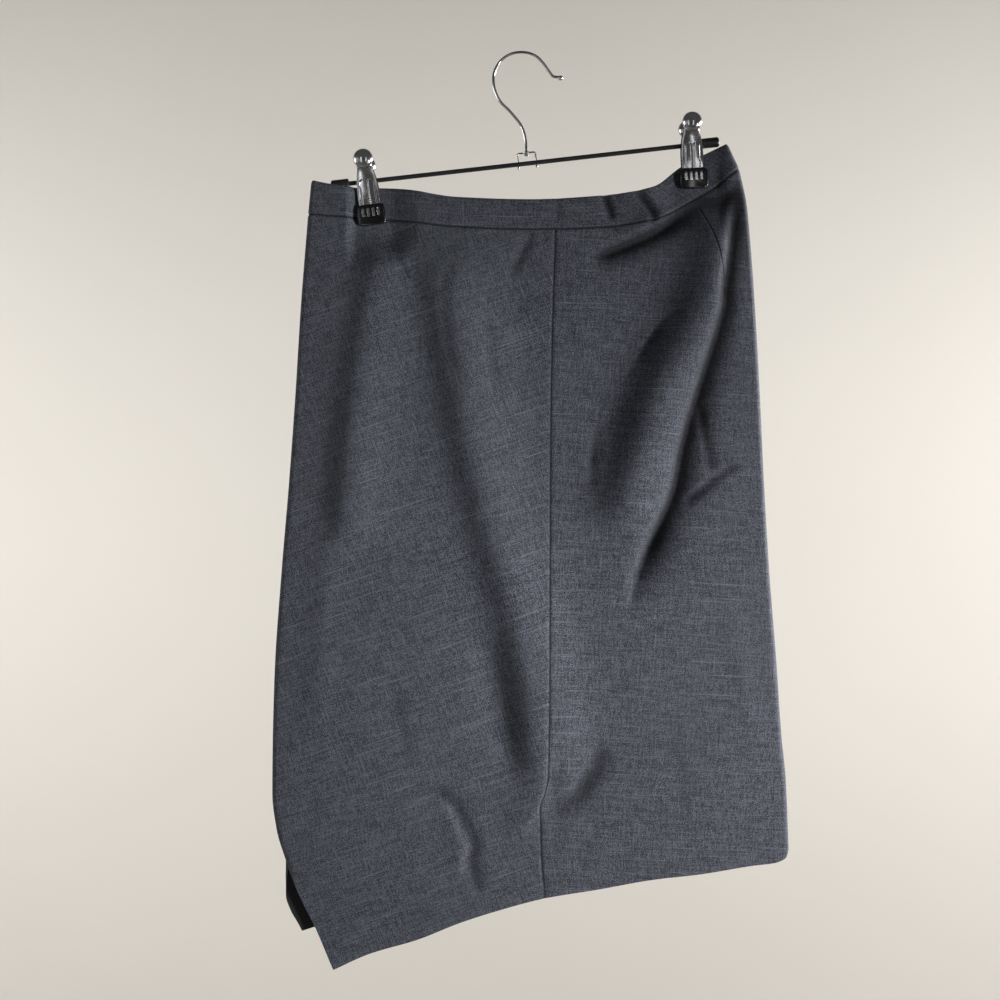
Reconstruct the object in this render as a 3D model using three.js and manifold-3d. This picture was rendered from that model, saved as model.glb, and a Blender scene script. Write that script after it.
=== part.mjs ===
// Pencil skirt hanging with its back to the viewer from a tilted clip hanger.
// Millimetres, +Z up, -Y towards the viewer. The origin is the underside of the hook's top,
// where the hanger rests on what holds it. The cloth hangs flat, so its two layers are a few
// centimetres apart, pinched together under the two clips.

import * as THREE from 'three';
import Module from 'manifold-3d';
import { mergeVertices } from 'three/addons/utils/BufferGeometryUtils.js';

// Cloth and sewing
const clothWall = 1.4;
const bandWall = 2.0;
const seamGap = 0.3;
const turnRadius = 5;
const pinchedDepth = 2.25;

// Hanger: bar, end caps, hook wire and the bail that joins them
const barDiameter = 4;
const barLength = 330;
const barMiddle = { x: -1.8, z: -98.8 };
const barTilt = THREE.MathUtils.degToRad(6.43);
const cap = { diameter: 9, length: 16, bore: 4.6, boreDepth: 12, centreFromMiddle: 167.5 };
const hookWire = 2.6;
const hookBall = 4.8;
const bail = {
  wire: 1.4, span: 16.4, above: 9.6, below: 3.6, knob: 2.4,
  eye: 5.6, eyeHole: 3.2, plate: 1.6, legRoom: 0.6, offCentre: 2.1,
};
const rivet = { diameter: 4.6, height: 2 };
const stem = { below: 0.4, straight: 3 };

// Clips, measured along the clip from the bar's axis
const plate = { wall: 0.9, top: 13.5, bottom: -36, grip: -20.5, curl: 0.9, curlReach: 12 };
const handle = { diameter: 17.5, up: 17.4, out: 13.6, depth: 11 };
const tip = { width: 25, height: 18.5, wall: 3.2, corner: 3, bottom: -40.3, clear: 0.3, pocketHeight: 40 };
const pocketRoom = { wide: 0.4, thick: 0.6, end: 0.3 };
const spring = { diameter: 9, length: 13, bore: 4.6 };
const clips = [
  {
    name: 'left', along: -142.9, lean: 1.2, pinchX: -139.8, pinchZ: -137.5,
    half: 14, up: 17, down: 18.5, reachLeft: 7.5, reachRight: 34, widenLeft: 0.25,
  },
  {
    name: 'right', along: 150.5, lean: -3.1, pinchX: 152.5, pinchZ: -104,
    half: 17, up: 16, down: 21, reachLeft: 30, reachRight: 14, widenLeft: 0,
  },
];
const pinchReachDown = 42;

// Waistband, camera side: lower seam and top edge from the left fold to the right fold
const bandRows = [
  { lowX: -197, lowZ: -145, topX: -194, topZ: -114.5 },
  { lowX: -176, lowZ: -147, topX: -174.5, topZ: -118.6 },
  { lowX: -150, lowZ: -148.6, topX: -149, topZ: -121 },
  { lowX: -126, lowZ: -150, topX: -126, topZ: -121.3 },
  { lowX: -64, lowZ: -157.5, topX: -63, topZ: -130.6 },
  { lowX: 4, lowZ: -160, topX: 4, topZ: -132.9 },
  { lowX: 66, lowZ: -158, topX: 66, topZ: -129.5 },
  { lowX: 112, lowZ: -151.8, topX: 112, topZ: -121.3 },
  { lowX: 147.6, lowZ: -133.2, topX: 138.5, topZ: -102 },
  { lowX: 172, lowZ: -118.8, topX: 164, topZ: -88.7 },
  { lowX: 184, lowZ: -109, topX: 175, topZ: -83.5 },
  { lowX: 191, lowZ: -104, topX: 180.5, topZ: -81.5 },
];

// Side folds and the centre-back seam, by height
const leftFoldRows = [
  { z: -145, x: -197 },
  { z: -230, x: -203.7 },
  { z: -306, x: -208.4 },
  { z: -386, x: -214.2 },
  { z: -465, x: -220.8 },
  { z: -557, x: -227.1 },
  { z: -633, x: -229 },
  { z: -665, x: -229.2 },
  { z: -697, x: -225.4 },
  { z: -724.5, x: -217.2 },
];
const slitBackRows = [
  { z: -755, x: -204.5 },
  { z: -786, x: -189.2 },
  { z: -822.5, x: -173.7 },
];
const slitFrontRows = [
  { z: -743, x: -217.9 },
  { z: -758, x: -217.6 },
  { z: -771, x: -213.5 },
  { z: -783, x: -206.7 },
  { z: -790, x: -203 },
];
const rightFoldRows = [
  { z: -104, x: 191 },
  { z: -137, x: 197.7 },
  { z: -176, x: 201.2 },
  { z: -249, x: 206.1 },
  { z: -317, x: 209.7 },
  { z: -391, x: 213.3 },
  { z: -465, x: 217.8 },
  { z: -545, x: 224.1 },
  { z: -616, x: 229.1 },
  { z: -650, x: 232.6 },
  { z: -717, x: 235.5 },
];
const backSeamRows = [
  { z: -159.6, x: 25.4 },
  { z: -196, x: 24 },
  { z: -262, x: 22 },
  { z: -363, x: 20.6 },
  { z: -499, x: 20 },
  { z: -646, x: 18.6 },
  { z: -661, x: 15.8 },
  { z: -674, x: 11.6 },
  { z: -712, x: 12.4 },
  { z: -755.4, x: 15.6 },
];

// Corners of the panels: top and foot of each side fold, and of the centre-back seam
const leftTop = { x: -197, z: -145 };
const rightTop = { x: 191, z: -104 };
const leftBackFoot = { x: -173.7, z: -822.5 };
const leftFrontFoot = { x: -203, z: -790 };
const rightFoot = { x: 235.5, z: -717 };
const slitTopZ = -724.5;

// Hems of the two layers
const backHemRows = [
  { x: -173.7, z: -822.5 },
  { x: -142, z: -807.5 },
  { x: -98, z: -793.3 },
  { x: -61, z: -778 },
  { x: -31, z: -768 },
  { x: 15.6, z: -755.4 },
  { x: 61, z: -748 },
  { x: 114, z: -739 },
  { x: 154, z: -735 },
  { x: 200, z: -728.5 },
  { x: 222, z: -726.5 },
  { x: 232, z: -722.5 },
  { x: 235.5, z: -717 },
];
const frontHemRows = [
  { x: -203, z: -790 },
  { x: -189, z: -786 },
  { x: -140, z: -777 },
  { x: -61, z: -763 },
  { x: 16, z: -748 },
  { x: 114, z: -733 },
  { x: 200, z: -722.5 },
  { x: 230, z: -719 },
  { x: 235.5, z: -717 },
];

// How far each layer stands off the middle plane: a row for each fall below the waist seam (0 at
// the seam, 1 at the hem, less than 0 on the band), a column for each place across the width
const acrossAt = [0, 0.12, 0.3, 0.5, 0.7, 0.88, 1];
const depthColumns = [
  'fall', 'leftEdge', 'leftSide', 'leftMid', 'centre', 'rightMid', 'rightSide', 'rightEdge',
];
const backDepthRows = [
  [-0.05, 6.2, 9.5, 10, 11, 10, 7, 5],
  [0, 6, 9.5, 12, 12, 12, 10, 6],
  [0.08, 5, 11, 15, 14, 14, 13, 9],
  [0.2, 5, 13, 17, 16, 16, 15, 11],
  [0.4, 5, 15, 19, 18, 18, 15, 10],
  [0.65, 5, 15, 20, 20, 19, 14, 8],
  [0.85, 5, 12, 18, 19, 18, 13, 6],
  [1, 6, 10, 15, 16, 15, 11, 5],
];
const frontDepthRows = [
  [-0.05, 6.2, 9.5, 8, 8, 8, 6, 5],
  [0, 6, 9.5, 9, 9, 9, 8, 5],
  [0.2, 5, 11, 14, 14, 14, 11, 5],
  [0.5, 5, 12, 16, 16, 16, 12, 5],
  [1, 5, 9, 12, 12, 12, 9, 5],
];
const bandDepthFall = 0.05;

// Largest folds of each layer: a path of x, z points; height is positive for a ridge that stands
// out and negative for a valley; leftWidth and rightWidth are its reach each side of the path, and
// a power under 2 makes it sharper along its line
const backFolds = [
  {
    name: 'right ridge', height: 14, leftWidth: 25, rightWidth: 34, endFade: 50,
    path: [[176, -150], [170, -185], [161, -220], [142, -262], [121, -301], [103, -355], [88, -405],
      [81, -430]],
  },
  {
    name: 'right valley', height: -14, leftWidth: 4.5, rightWidth: 13, endFade: 70, power: 1.3,
    path: [[190, -118], [187, -140], [182, -175], [176, -212], [174, -232], [164, -266], [151, -307],
      [138, -352], [130, -392], [115, -428], [99, -464], [93, -486]],
  },
  {
    name: 'left ridge', height: 11, leftWidth: 20, rightWidth: 36, endFade: 60,
    path: [[-85, -182], [-77, -205], [-70, -228], [-64, -258], [-57, -304], [-48, -356], [-38, -401],
      [-25, -455], [-12, -509], [-2, -563], [6, -617], [10, -645]],
  },
  {
    name: 'ridge below the left clip', height: 8, leftWidth: 16, rightWidth: 30, endFade: 50,
    path: [[-126, -160], [-134, -197], [-139, -224], [-145, -268], [-151, -312], [-156, -357],
      [-159, -401], [-162, -445]],
  },
  {
    name: 'trough beside the seam', height: -3, leftWidth: 15, rightWidth: 13, endFade: 40,
    path: [[-40, -520], [-31, -560], [-22, -610], [-9, -650]],
  },
  {
    name: 'lip under the band', height: 3.5, leftWidth: 9, rightWidth: 6, endFade: 26,
    path: [[184, -112], [165, -119], [147, -130], [124, -146], [103, -158], [82, -166]],
  },
  {
    name: 'valley under the lip', height: -8, leftWidth: 4, rightWidth: 9, endFade: 26, power: 1.5,
    path: [[190, -124], [172, -132], [156, -134], [139, -144], [117, -160], [96, -170], [76, -178],
      [57, -185]],
  },
  {
    name: 'lip at the foot of the seam', height: 3, leftWidth: 18, rightWidth: 7, endFade: 26,
    path: [[14, -617], [12, -655], [6, -675], [-4, -688], [-14, -696]],
  },
];
const frontFolds = [
  {
    name: 'left drape', height: -6, leftWidth: 17, rightWidth: 17, endFade: 60,
    path: [[-136, -175], [-128, -240], [-112, -320], [-96, -400], [-86, -470]],
  },
  {
    name: 'middle drape', height: -4, leftWidth: 20, rightWidth: 24, endFade: 80,
    path: [[-40, -230], [-22, -330], [-14, -430], [-10, -560]],
  },
  {
    name: 'right drape', height: -6, leftWidth: 16, rightWidth: 18, endFade: 60,
    path: [[150, -160], [134, -230], [108, -310], [86, -400], [78, -480]],
  },
];
const foldSteps = 48;
const foldFadeStart = 0.3;
const gentle = 2;
const foldWindow = { start: 2, reach: 22 };

// Grid lines of the panels: -1 to 0 goes round the side fold, 0 to 1 across to the seam
const foldTurn = [-1, -2 / 3, -1 / 3];
const leftColumns = [...foldTurn, 0, 0.035, 0.07, 0.145, 0.176, 0.24, 0.304, ...spread(0.36, 1, 12)];
const rightColumns = [...foldTurn, 0, 0.05, 0.1, 0.15, 0.19, 0.23, 0.28, ...spread(0.34, 1, 12)];
const farTurn = [4 / 3, 5 / 3, 2];
const frontColumns = [
  ...foldTurn, 0, 0.04, 0.082, 0.1, 0.138, 0.177, ...spread(0.23, 0.82, 10), 0.87, 0.91, 0.96, 1, ...farTurn,
];
const slitTopFall = (leftTop.z - slitTopZ) / (leftTop.z - leftBackFoot.z);
const slitTopFallFront = (leftTop.z - slitTopZ) / (leftTop.z - leftFrontFoot.z);
const slitOpening = 0.05;
const backRows = [0, 0.014, 0.032, 0.056, ...spread(0.085, slitTopFall, 21), ...spread(0.885, 1, 4)];
const frontRows = [0, 0.02, 0.05, ...spread(0.09, slitTopFallFront, 17), ...spread(0.93, 1, 3)];
const bandFalls = [-1, -0.62, -0.25, -1e-6];

// Trims sewn inside: the closure tape behind the centre-back seam and the facing in the slit
const trimWall = 1;
const tapeRowCount = 9;
const facing = { rows: 7, columns: 8 };

// Shapes of the hook wire and the clip plates
const hookPath = [
  [-1.3, -77.4], [-3.6, -68.4], [-7.2, -61.6], [-15.8, -51.3], [-23.8, -43.2], [-28.4, -34.2],
  [-30.1, -26.1], [-29.5, -16.8], [-24.9, -7.7], [-18, -1.8], [-11.2, 0.9], [-4.2, 1.5], [2.7, 0.4],
  [9.5, -3.1], [15.3, -9.4], [19.8, -15.7], [23.4, -20.2], [27.9, -20.9],
];
const hookEnd = { x: 30, z: -21.7 };
const plateRows = [
  { z: -36, half: 9.4, out: 3.7 },
  { z: -24, half: 9.6, out: 3.7 },
  { z: -12, half: 9.8, out: 4.6 },
  { z: -4, half: 9.4, out: 5.4 },
  { z: 4, half: 8.4, out: 6.4 },
  { z: 10, half: 7, out: 8.4 },
  { z: 16, half: 5.6, out: 11.6 },
];

// Facets of the round shapes, and how far joined or cut solids pass through each other
const sides = { wire: 8, leg: 10, bore: 16, rod: 20, cap: 24, corner: 4 };
const ballFacets = { end: [12, 8], knob: [8, 6], handle: [16, 10] };
const plateFacets = { up: 12, across: 5 };
const wireSteps = 44;
const overlap = 0.05;

// Colours
const colours = {
  cloth: 0x474b54,
  facing: 0x0c0d11,
  tape: 0x15161a,
  chrome: 0xc9cbd0,
  barBlack: 0x16161a,
  dippedBlack: 0x08080a,
};

function spread(from, to, count) {
  return Array.from({ length: count }, (_, i) => from + ((to - from) * i) / (count - 1));
}

function mix(a, b, t) {
  return a + (b - a) * t;
}

function smooth(t) {
  const s = Math.min(Math.max(t, 0), 1);
  return s * s * (3 - 2 * s);
}

// A curve without overshoot through the points (xs, ys)
function curve(xs, ys) {
  const order = xs.map((_, i) => i).sort((a, b) => xs[a] - xs[b]);
  const px = order.map((i) => xs[i]);
  const py = order.map((i) => ys[i]);
  const last = px.length - 1;
  const steps = [];
  for (let i = 0; i < last; i++) {
    steps.push((py[i + 1] - py[i]) / (px[i + 1] - px[i]));
  }
  const slopes = px.map((_, i) => {
    if (i === 0) return steps[0];
    if (i === last) return steps[last - 1];
    const before = steps[i - 1];
    const after = steps[i];
    return before * after <= 0 ? 0 : (2 * before * after) / (before + after);
  });
  return (x) => {
    if (x <= px[0]) return py[0] + slopes[0] * (x - px[0]);
    if (x >= px[last]) return py[last] + slopes[last] * (x - px[last]);
    let i = 0;
    while (x > px[i + 1]) i++;
    const h = px[i + 1] - px[i];
    const t = (x - px[i]) / h;
    const t2 = t * t;
    const t3 = t2 * t;
    return (2 * t3 - 3 * t2 + 1) * py[i] + (t3 - 2 * t2 + t) * h * slopes[i]
      + (3 * t2 - 2 * t3) * py[i + 1] + (t3 - t2) * h * slopes[i + 1];
  };
}

function column(rows, from, to) {
  return curve(rows.map((row) => row[from]), rows.map((row) => row[to]));
}

const seamZ = column(bandRows, 'lowX', 'lowZ');
const bandTopX = column(bandRows, 'lowX', 'topX');
const bandTopZ = column(bandRows, 'lowX', 'topZ');
const leftBackX = column([...leftFoldRows, ...slitBackRows], 'z', 'x');
const leftFrontX = column([...leftFoldRows, ...slitFrontRows], 'z', 'x');
const rightX = column(rightFoldRows, 'z', 'x');
const backSeamX = column(backSeamRows, 'z', 'x');
const backHemZ = column(backHemRows, 'x', 'z');
const frontHemZ = column(frontHemRows, 'x', 'z');

// Depth of a layer: smooth down each column of the table and then across it
function depthMap(rows) {
  const falls = rows.map((row) => row[0]);
  const down = depthColumns.slice(1).map((_, i) => curve(falls, rows.map((row) => row[i + 1])));
  return (across, fall) => curve(acrossAt, down.map((at) => at(fall)))(across);
}

const backDepth = depthMap(backDepthRows);
const frontDepth = depthMap(frontDepthRows);

// Height that the folds add at a point. A path turns round soft corners, and its ends fade out.
function foldMap(folds) {
  const routes = folds.map((fold) => {
    const route = new THREE.CatmullRomCurve3(fold.path.map(([x, z]) => new THREE.Vector3(x, 0, z)));
    const points = route.getSpacedPoints(foldSteps);
    return { fold, points, step: route.getLength() / foldSteps };
  });
  return (x, z) => {
    let height = 0;
    for (const { fold, points, step } of routes) {
      let nearest = Infinity;
      let at = 0;
      points.forEach((p, i) => {
        const away = (p.x - x) ** 2 + (p.z - z) ** 2;
        if (away < nearest) {
          nearest = away;
          at = i;
        }
      });
      const i = Math.min(Math.max(at, 1), points.length - 2);
      const alongX = points[i + 1].x - points[i - 1].x;
      const alongZ = points[i + 1].z - points[i - 1].z;
      const length = Math.hypot(alongX, alongZ);
      const offX = x - points[at].x;
      const offZ = z - points[at].z;
      const side = (offZ * alongX - offX * alongZ) / length;
      const run = at * step + (offX * alongX + offZ * alongZ) / length;
      const left = step * foldSteps - run;
      const fadeIn = smooth(run / fold.endFade + foldFadeStart);
      const fade = fadeIn * smooth(left / fold.endFade + foldFadeStart);
      const width = side > 0 ? fold.rightWidth : fold.leftWidth;
      height += fold.height * fade * Math.exp(-(Math.abs(side / width) ** (fold.power ?? gentle)));
    }
    return height;
  };
}

const backFoldHeight = foldMap(backFolds);
const frontFoldHeight = foldMap(frontFolds);

// 0 under a clip's tip, 1 where the cloth is free of it
function freeOfClips(x, z) {
  let free = 1;
  for (const clip of clips) {
    const sideways = x - clip.pinchX;
    const drop = THREE.MathUtils.clamp(clip.pinchZ - clip.down - z, 0, pinchReachDown);
    const reach = sideways < 0 ? clip.reachLeft + drop * clip.widenLeft : clip.reachRight;
    const offX = Math.max(Math.abs(sideways) - clip.half, 0) / reach;
    const above = Math.max(z - clip.pinchZ - clip.up, 0) / reach;
    free = Math.min(free, smooth(Math.hypot(offX, above + drop / pinchReachDown)));
  }
  return free;
}

// How far the side fold has turned: 0 at the seam, 1 where the cloth faces straight out
function turned(dist, opened) {
  const t = Math.min((dist + opened * turnRadius) / turnRadius, 1);
  return Math.sqrt(Math.max(1 - (1 - t) ** 2, 0));
}

function offMiddle(depth, folds, x, z, dist, opened) {
  const window = smooth((dist - foldWindow.start) / foldWindow.reach);
  const free = freeOfClips(x, z);
  const full = Math.max(depth + folds * window, pinchedDepth);
  return seamGap / 2 + mix(pinchedDepth - seamGap / 2, full, free) * turned(dist, opened);
}

// Across a panel: -1 to 0 is the quarter turn at its side fold
function fromFold(c, width) {
  if (c <= 0) return turnRadius * (1 - Math.cos(((1 + c) * Math.PI) / 2));
  return turnRadius + (width - turnRadius) * c;
}

const backSides = {
  left: { sign: 1, foldX: leftBackX, top: leftTop, foot: leftBackFoot },
  right: { sign: -1, foldX: rightX, top: rightTop, foot: rightFoot },
};
const seamTop = { x: backSeamRows[0].x, z: seamZ(backSeamRows[0].x) };
const seamFoot = backSeamRows.at(-1);

// A point on the outside of a back panel; fall below 0 is on the waistband
function backPoint(side, c, fall) {
  const { sign, foldX, top: corner, foot } = backSides[side];
  const inBand = fall < 0;
  const level = inBand ? 0 : fall;
  const edge = foldX(mix(corner.z, foot.z, level));
  const seam = backSeamX(mix(seamTop.z, seamFoot.z, level)) - (sign * seamGap) / 2;
  const width = Math.abs(seam - edge);
  const dist = fromFold(c, width);
  const f = dist / width;
  let x = edge + sign * dist;
  const top = seamZ(mix(corner.x, seamTop.x, f));
  let z = mix(top - seamGap / 2, backHemZ(mix(foot.x, seamFoot.x, f)), level);
  if (inBand) {
    const up = Math.min(-fall, 1);
    z = mix(top + seamGap / 2, bandTopZ(x), up);
    x = mix(x, bandTopX(x), up);
  }
  const across = sign > 0 ? f / 2 : 1 - f / 2;
  const opened = sign > 0 ? smooth((level - slitTopFall) / slitOpening) : 0;
  const depth = backDepth(across, inBand ? fall * bandDepthFall : fall);
  return new THREE.Vector3(x, -offMiddle(depth, backFoldHeight(x, z), x, z, dist, opened), z);
}

// A point on the outside of the front panel, which hangs behind; c runs -1 to 2 from left to right
function frontPoint(c, fall) {
  const inBand = fall < 0;
  const level = inBand ? 0 : fall;
  const left = leftFrontX(mix(leftTop.z, leftFrontFoot.z, level));
  const right = rightX(mix(rightTop.z, rightFoot.z, level));
  const width = right - left;
  const far = c > 1;
  const flat = width - 2 * turnRadius;
  const dist = c > 0 && !far ? turnRadius + flat * c : fromFold(far ? 1 - c : c, width);
  const fromLeft = far ? width - dist : dist;
  const nearest = Math.min(fromLeft, width - fromLeft);
  const f = fromLeft / width;
  let x = left + fromLeft;
  const top = seamZ(mix(leftTop.x, rightTop.x, f));
  let z = mix(top - seamGap / 2, frontHemZ(mix(leftFrontFoot.x, rightFoot.x, f)), level);
  if (inBand) {
    const up = Math.min(-fall, 1);
    z = mix(top + seamGap / 2, bandTopZ(x), up);
    x = mix(x, bandTopX(x), up);
  }
  const opened = f < 0.5 ? smooth((level - slitTopFallFront) / slitOpening) : 0;
  const depth = frontDepth(f, inBand ? fall * bandDepthFall : fall);
  return new THREE.Vector3(x, offMiddle(depth, frontFoldHeight(x, z), x, z, nearest, opened), z);
}

const slopeStep = 2e-3;
const levelReach = 0.03;

// The way out of the cloth at a grid point, level along the waist seam so that both sides match
function outward(pointAt, c, fall, range, sense) {
  const c0 = Math.max(c - slopeStep, range[0]);
  const c1 = Math.min(c + slopeStep, range[1]);
  const f0 = fall < 0 ? fall : Math.max(fall - slopeStep, 0);
  const f1 = Math.min(fall + slopeStep, fall < 0 ? 0 : 1);
  const across = pointAt(c1, fall).sub(pointAt(c0, fall));
  const down = fall < 0 ? new THREE.Vector3(0, 0, -1) : pointAt(c, f1).sub(pointAt(c, f0));
  const way = across.cross(down).normalize().multiplyScalar(sense);
  const tilt = fall < 0 ? 0 : smooth(fall / levelReach);
  way.z *= tilt;
  return way.normalize();
}

// Outer points and the ways out of the cloth, over lists of columns and rows
function clothGrid(pointAt, columns, rows, range, sense) {
  return rows.map((fall) => columns.map((c) => {
    const point = pointAt(c, fall);
    return { point, way: outward(pointAt, c, fall, range, sense) };
  }));
}

function moved(grid, distance) {
  return grid.map((row) => row.map(({ point, way }) => point.clone().addScaledVector(way, distance)));
}

// A closed wall between two grids of points; outer is the face that looks out
function wallBetween(outer, inner) {
  const rowCount = outer.length;
  const columnCount = outer[0].length;
  const positions = [];
  for (const grid of [outer, inner]) {
    for (const row of grid) {
      for (const p of row) {
        positions.push(p.x, p.y, p.z);
      }
    }
  }
  const innerStart = rowCount * columnCount;
  const at = (r, c, start = 0) => start + r * columnCount + c;
  const index = [];
  const quad = (a, b, c, d) => index.push(a, b, c, a, c, d);
  for (let r = 0; r < rowCount - 1; r++) {
    for (let c = 0; c < columnCount - 1; c++) {
      quad(at(r, c), at(r + 1, c), at(r + 1, c + 1), at(r, c + 1));
      const [a, b] = [at(r, c, innerStart), at(r, c + 1, innerStart)];
      quad(a, b, b + columnCount, a + columnCount);
    }
  }
  const rim = [];
  for (let c = 0; c < columnCount; c++) rim.push([0, c]);
  for (let r = 1; r < rowCount; r++) rim.push([r, columnCount - 1]);
  for (let c = columnCount - 2; c >= 0; c--) rim.push([rowCount - 1, c]);
  for (let r = rowCount - 2; r > 0; r--) rim.push([r, 0]);
  rim.forEach(([r, c], i) => {
    const [nextR, nextC] = rim[(i + 1) % rim.length];
    quad(at(r, c), at(nextR, nextC), at(nextR, nextC, innerStart), at(r, c, innerStart));
  });
  const geometry = new THREE.BufferGeometry();
  geometry.setAttribute('position', new THREE.Float32BufferAttribute(positions, 3));
  geometry.setIndex(index);
  return facingOut(geometry);
}

// Turns a closed geometry the right way round
function facingOut(geometry) {
  const position = geometry.attributes.position;
  const index = geometry.index.array;
  const [a, b, c] = [new THREE.Vector3(), new THREE.Vector3(), new THREE.Vector3()];
  let volume = 0;
  for (let i = 0; i < index.length; i += 3) {
    a.fromBufferAttribute(position, index[i]);
    b.fromBufferAttribute(position, index[i + 1]);
    c.fromBufferAttribute(position, index[i + 2]);
    volume += a.dot(b.cross(c));
  }
  if (volume < 0) {
    for (let i = 0; i < index.length; i += 3) {
      const kept = index[i + 1];
      index[i + 1] = index[i + 2];
      index[i + 2] = kept;
    }
  }
  return geometry;
}

const group = new THREE.Group();

function material(color, roughness, metalness) {
  return new THREE.MeshStandardMaterial({ color, roughness, metalness });
}

function add(name, geometry, look, parent = group) {
  const mesh = new THREE.Mesh(geometry, look);
  mesh.name = name;
  parent.add(mesh);
  return mesh;
}

const wool = material(colours.cloth, 0.9, 0);
const chrome = material(colours.chrome, 0.16, 1);
const barPaint = material(colours.barBlack, 0.45, 0);
const dipped = material(colours.dippedBlack, 0.18, 0);

// Back panels, either side of the centre-back seam
const backGrids = {};
for (const [side, columns, sense] of [['left', leftColumns, -1], ['right', rightColumns, 1]]) {
  const pointAt = (c, fall) => backPoint(side, c, fall);
  backGrids[side] = clothGrid(pointAt, columns, backRows, [-1, 1], sense);
  add(`back_${side}`, wallBetween(moved(backGrids[side], 0), moved(backGrids[side], -clothWall)), wool);
}

// Front panel, on the far side
const frontGrid = clothGrid(frontPoint, frontColumns, frontRows, [-1, 2], 1);
add('front', wallBetween(moved(frontGrid, 0), moved(frontGrid, -clothWall)), wool);

// Waistband: one strip round the waist, its ends meeting at the centre-back closure
const bandGrid = bandFalls.map((fall) => [
  ...clothGrid((c, f) => backPoint('left', c, f), [...leftColumns].reverse(), [fall], [-1, 1], -1)[0],
  ...clothGrid(frontPoint, frontColumns, [fall], [-1, 2], 1)[0],
  ...clothGrid((c, f) => backPoint('right', c, f), rightColumns, [fall], [-1, 1], 1)[0],
]);
add('waistband', wallBetween(moved(bandGrid, 0), moved(bandGrid, -bandWall)), wool);

// Trims lie 0.3 mm inside the panel that they are sewn to
function trim(name, grid, colour) {
  const outer = moved(grid, -(clothWall + seamGap));
  const inner = moved(grid, -(clothWall + seamGap + trimWall));
  add(name, wallBetween(outer, inner), material(colour, 0.8, 0));
}

const tapeGrid = backRows.slice(1, 1 + tapeRowCount).map((_, i) => {
  const left = backGrids.left[i + 1];
  const right = backGrids.right[i + 1];
  return [left.at(-2), left.at(-1), right.at(-1), right.at(-2)];
});
trim('closure_tape', tapeGrid, colours.tape);

const facingGrid = frontGrid.slice(-facing.rows).map((row) => row.slice(0, facing.columns));
trim('slit_facing', facingGrid, colours.facing);

// Solids for cutting and joining
const wasm = await Module();
wasm.setup();

function solid(geometry) {
  const bare = geometry.clone();
  bare.deleteAttribute('normal');
  bare.deleteAttribute('uv');
  const merged = mergeVertices(bare, 1e-4);
  return new wasm.Manifold(new wasm.Mesh({
    numProp: 3,
    vertProperties: new Float32Array(merged.attributes.position.array),
    triVerts: new Uint32Array(merged.index.array),
  }));
}

function geometryOf(body) {
  const mesh = body.getMesh();
  const geometry = new THREE.BufferGeometry();
  geometry.setAttribute('position', new THREE.Float32BufferAttribute(mesh.vertProperties, 3));
  geometry.setIndex(new THREE.Uint32BufferAttribute(mesh.triVerts, 1));
  return geometry;
}

// A cylinder along X, Y or Z
function rod(diameter, length, axis, facets = sides.rod) {
  const geometry = new THREE.CylinderGeometry(diameter / 2, diameter / 2, length, facets);
  if (axis === 'x') geometry.rotateZ(Math.PI / 2);
  if (axis === 'z') geometry.rotateX(Math.PI / 2);
  return geometry;
}

function ball(diameter, [around, up]) {
  return new THREE.SphereGeometry(diameter / 2, around, up);
}

function wireAlong(points, diameter) {
  const round = new THREE.Path().absarc(0, 0, diameter / 2, 0, Math.PI * 2);
  const section = new THREE.Shape(round.getPoints(sides.wire).slice(0, sides.wire));
  const route = new THREE.CatmullRomCurve3(points.map(([x, z]) => new THREE.Vector3(x, 0, z)));
  return new THREE.ExtrudeGeometry(section, { extrudePath: route, steps: wireSteps });
}

// Everything on the bar sits in this turned frame: X along the bar, its origin at the bar's middle
const hanger = new THREE.Group();
hanger.position.set(barMiddle.x, 0, barMiddle.z);
hanger.rotation.y = -barTilt;
group.add(hanger);

const bailX = bail.offCentre;
const legX = [bailX - bail.span / 2, bailX + bail.span / 2];
let barSolid = solid(rod(barDiameter, barLength, 'x'));
for (const x of legX) {
  const hole = rod(bail.wire + bail.legRoom, barDiameter * 2, 'z', sides.leg).translate(x, 0, 0);
  barSolid = barSolid.subtract(solid(hole));
}
add('hanger_bar', geometryOf(barSolid), barPaint, hanger);

for (const [name, sign] of [['left', -1], ['right', 1]]) {
  const inner = cap.centreFromMiddle - cap.length / 2;
  const bore = rod(cap.bore, cap.boreDepth, 'x').translate(inner + cap.boreDepth / 2 - overlap, 0, 0);
  const outside = rod(cap.diameter, cap.length, 'x', sides.cap).translate(cap.centreFromMiddle, 0, 0);
  const geometry = geometryOf(solid(outside).subtract(solid(bore)));
  if (sign < 0) geometry.rotateZ(Math.PI);
  add(`cap_${name}`, geometry, barPaint, hanger);
}

// Bail: a wire staple through the bar with a plate for the hook's stem
const bailTop = bail.above;
const bridge = new THREE.BoxGeometry(bail.span + bail.wire, bail.wire, bail.plate);
let bailSolid = solid(bridge.translate(bailX, 0, bailTop));
bailSolid = bailSolid.add(solid(rod(bail.eye, bail.plate, 'z').translate(bailX, 0, bailTop)));
for (const x of legX) {
  const length = bailTop + bail.below;
  const leg = rod(bail.wire, length, 'z', sides.leg).translate(x, 0, bailTop - length / 2);
  const knob = ball(bail.knob, ballFacets.knob).translate(x, 0, -bail.below);
  bailSolid = bailSolid.add(solid(leg)).add(solid(knob));
}
const eyeHole = rod(bail.eyeHole, bail.plate * 2, 'z', sides.bore).translate(bailX, 0, bailTop);
bailSolid = bailSolid.subtract(solid(eyeHole));
add('bail', geometryOf(bailSolid), chrome, hanger);

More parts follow.
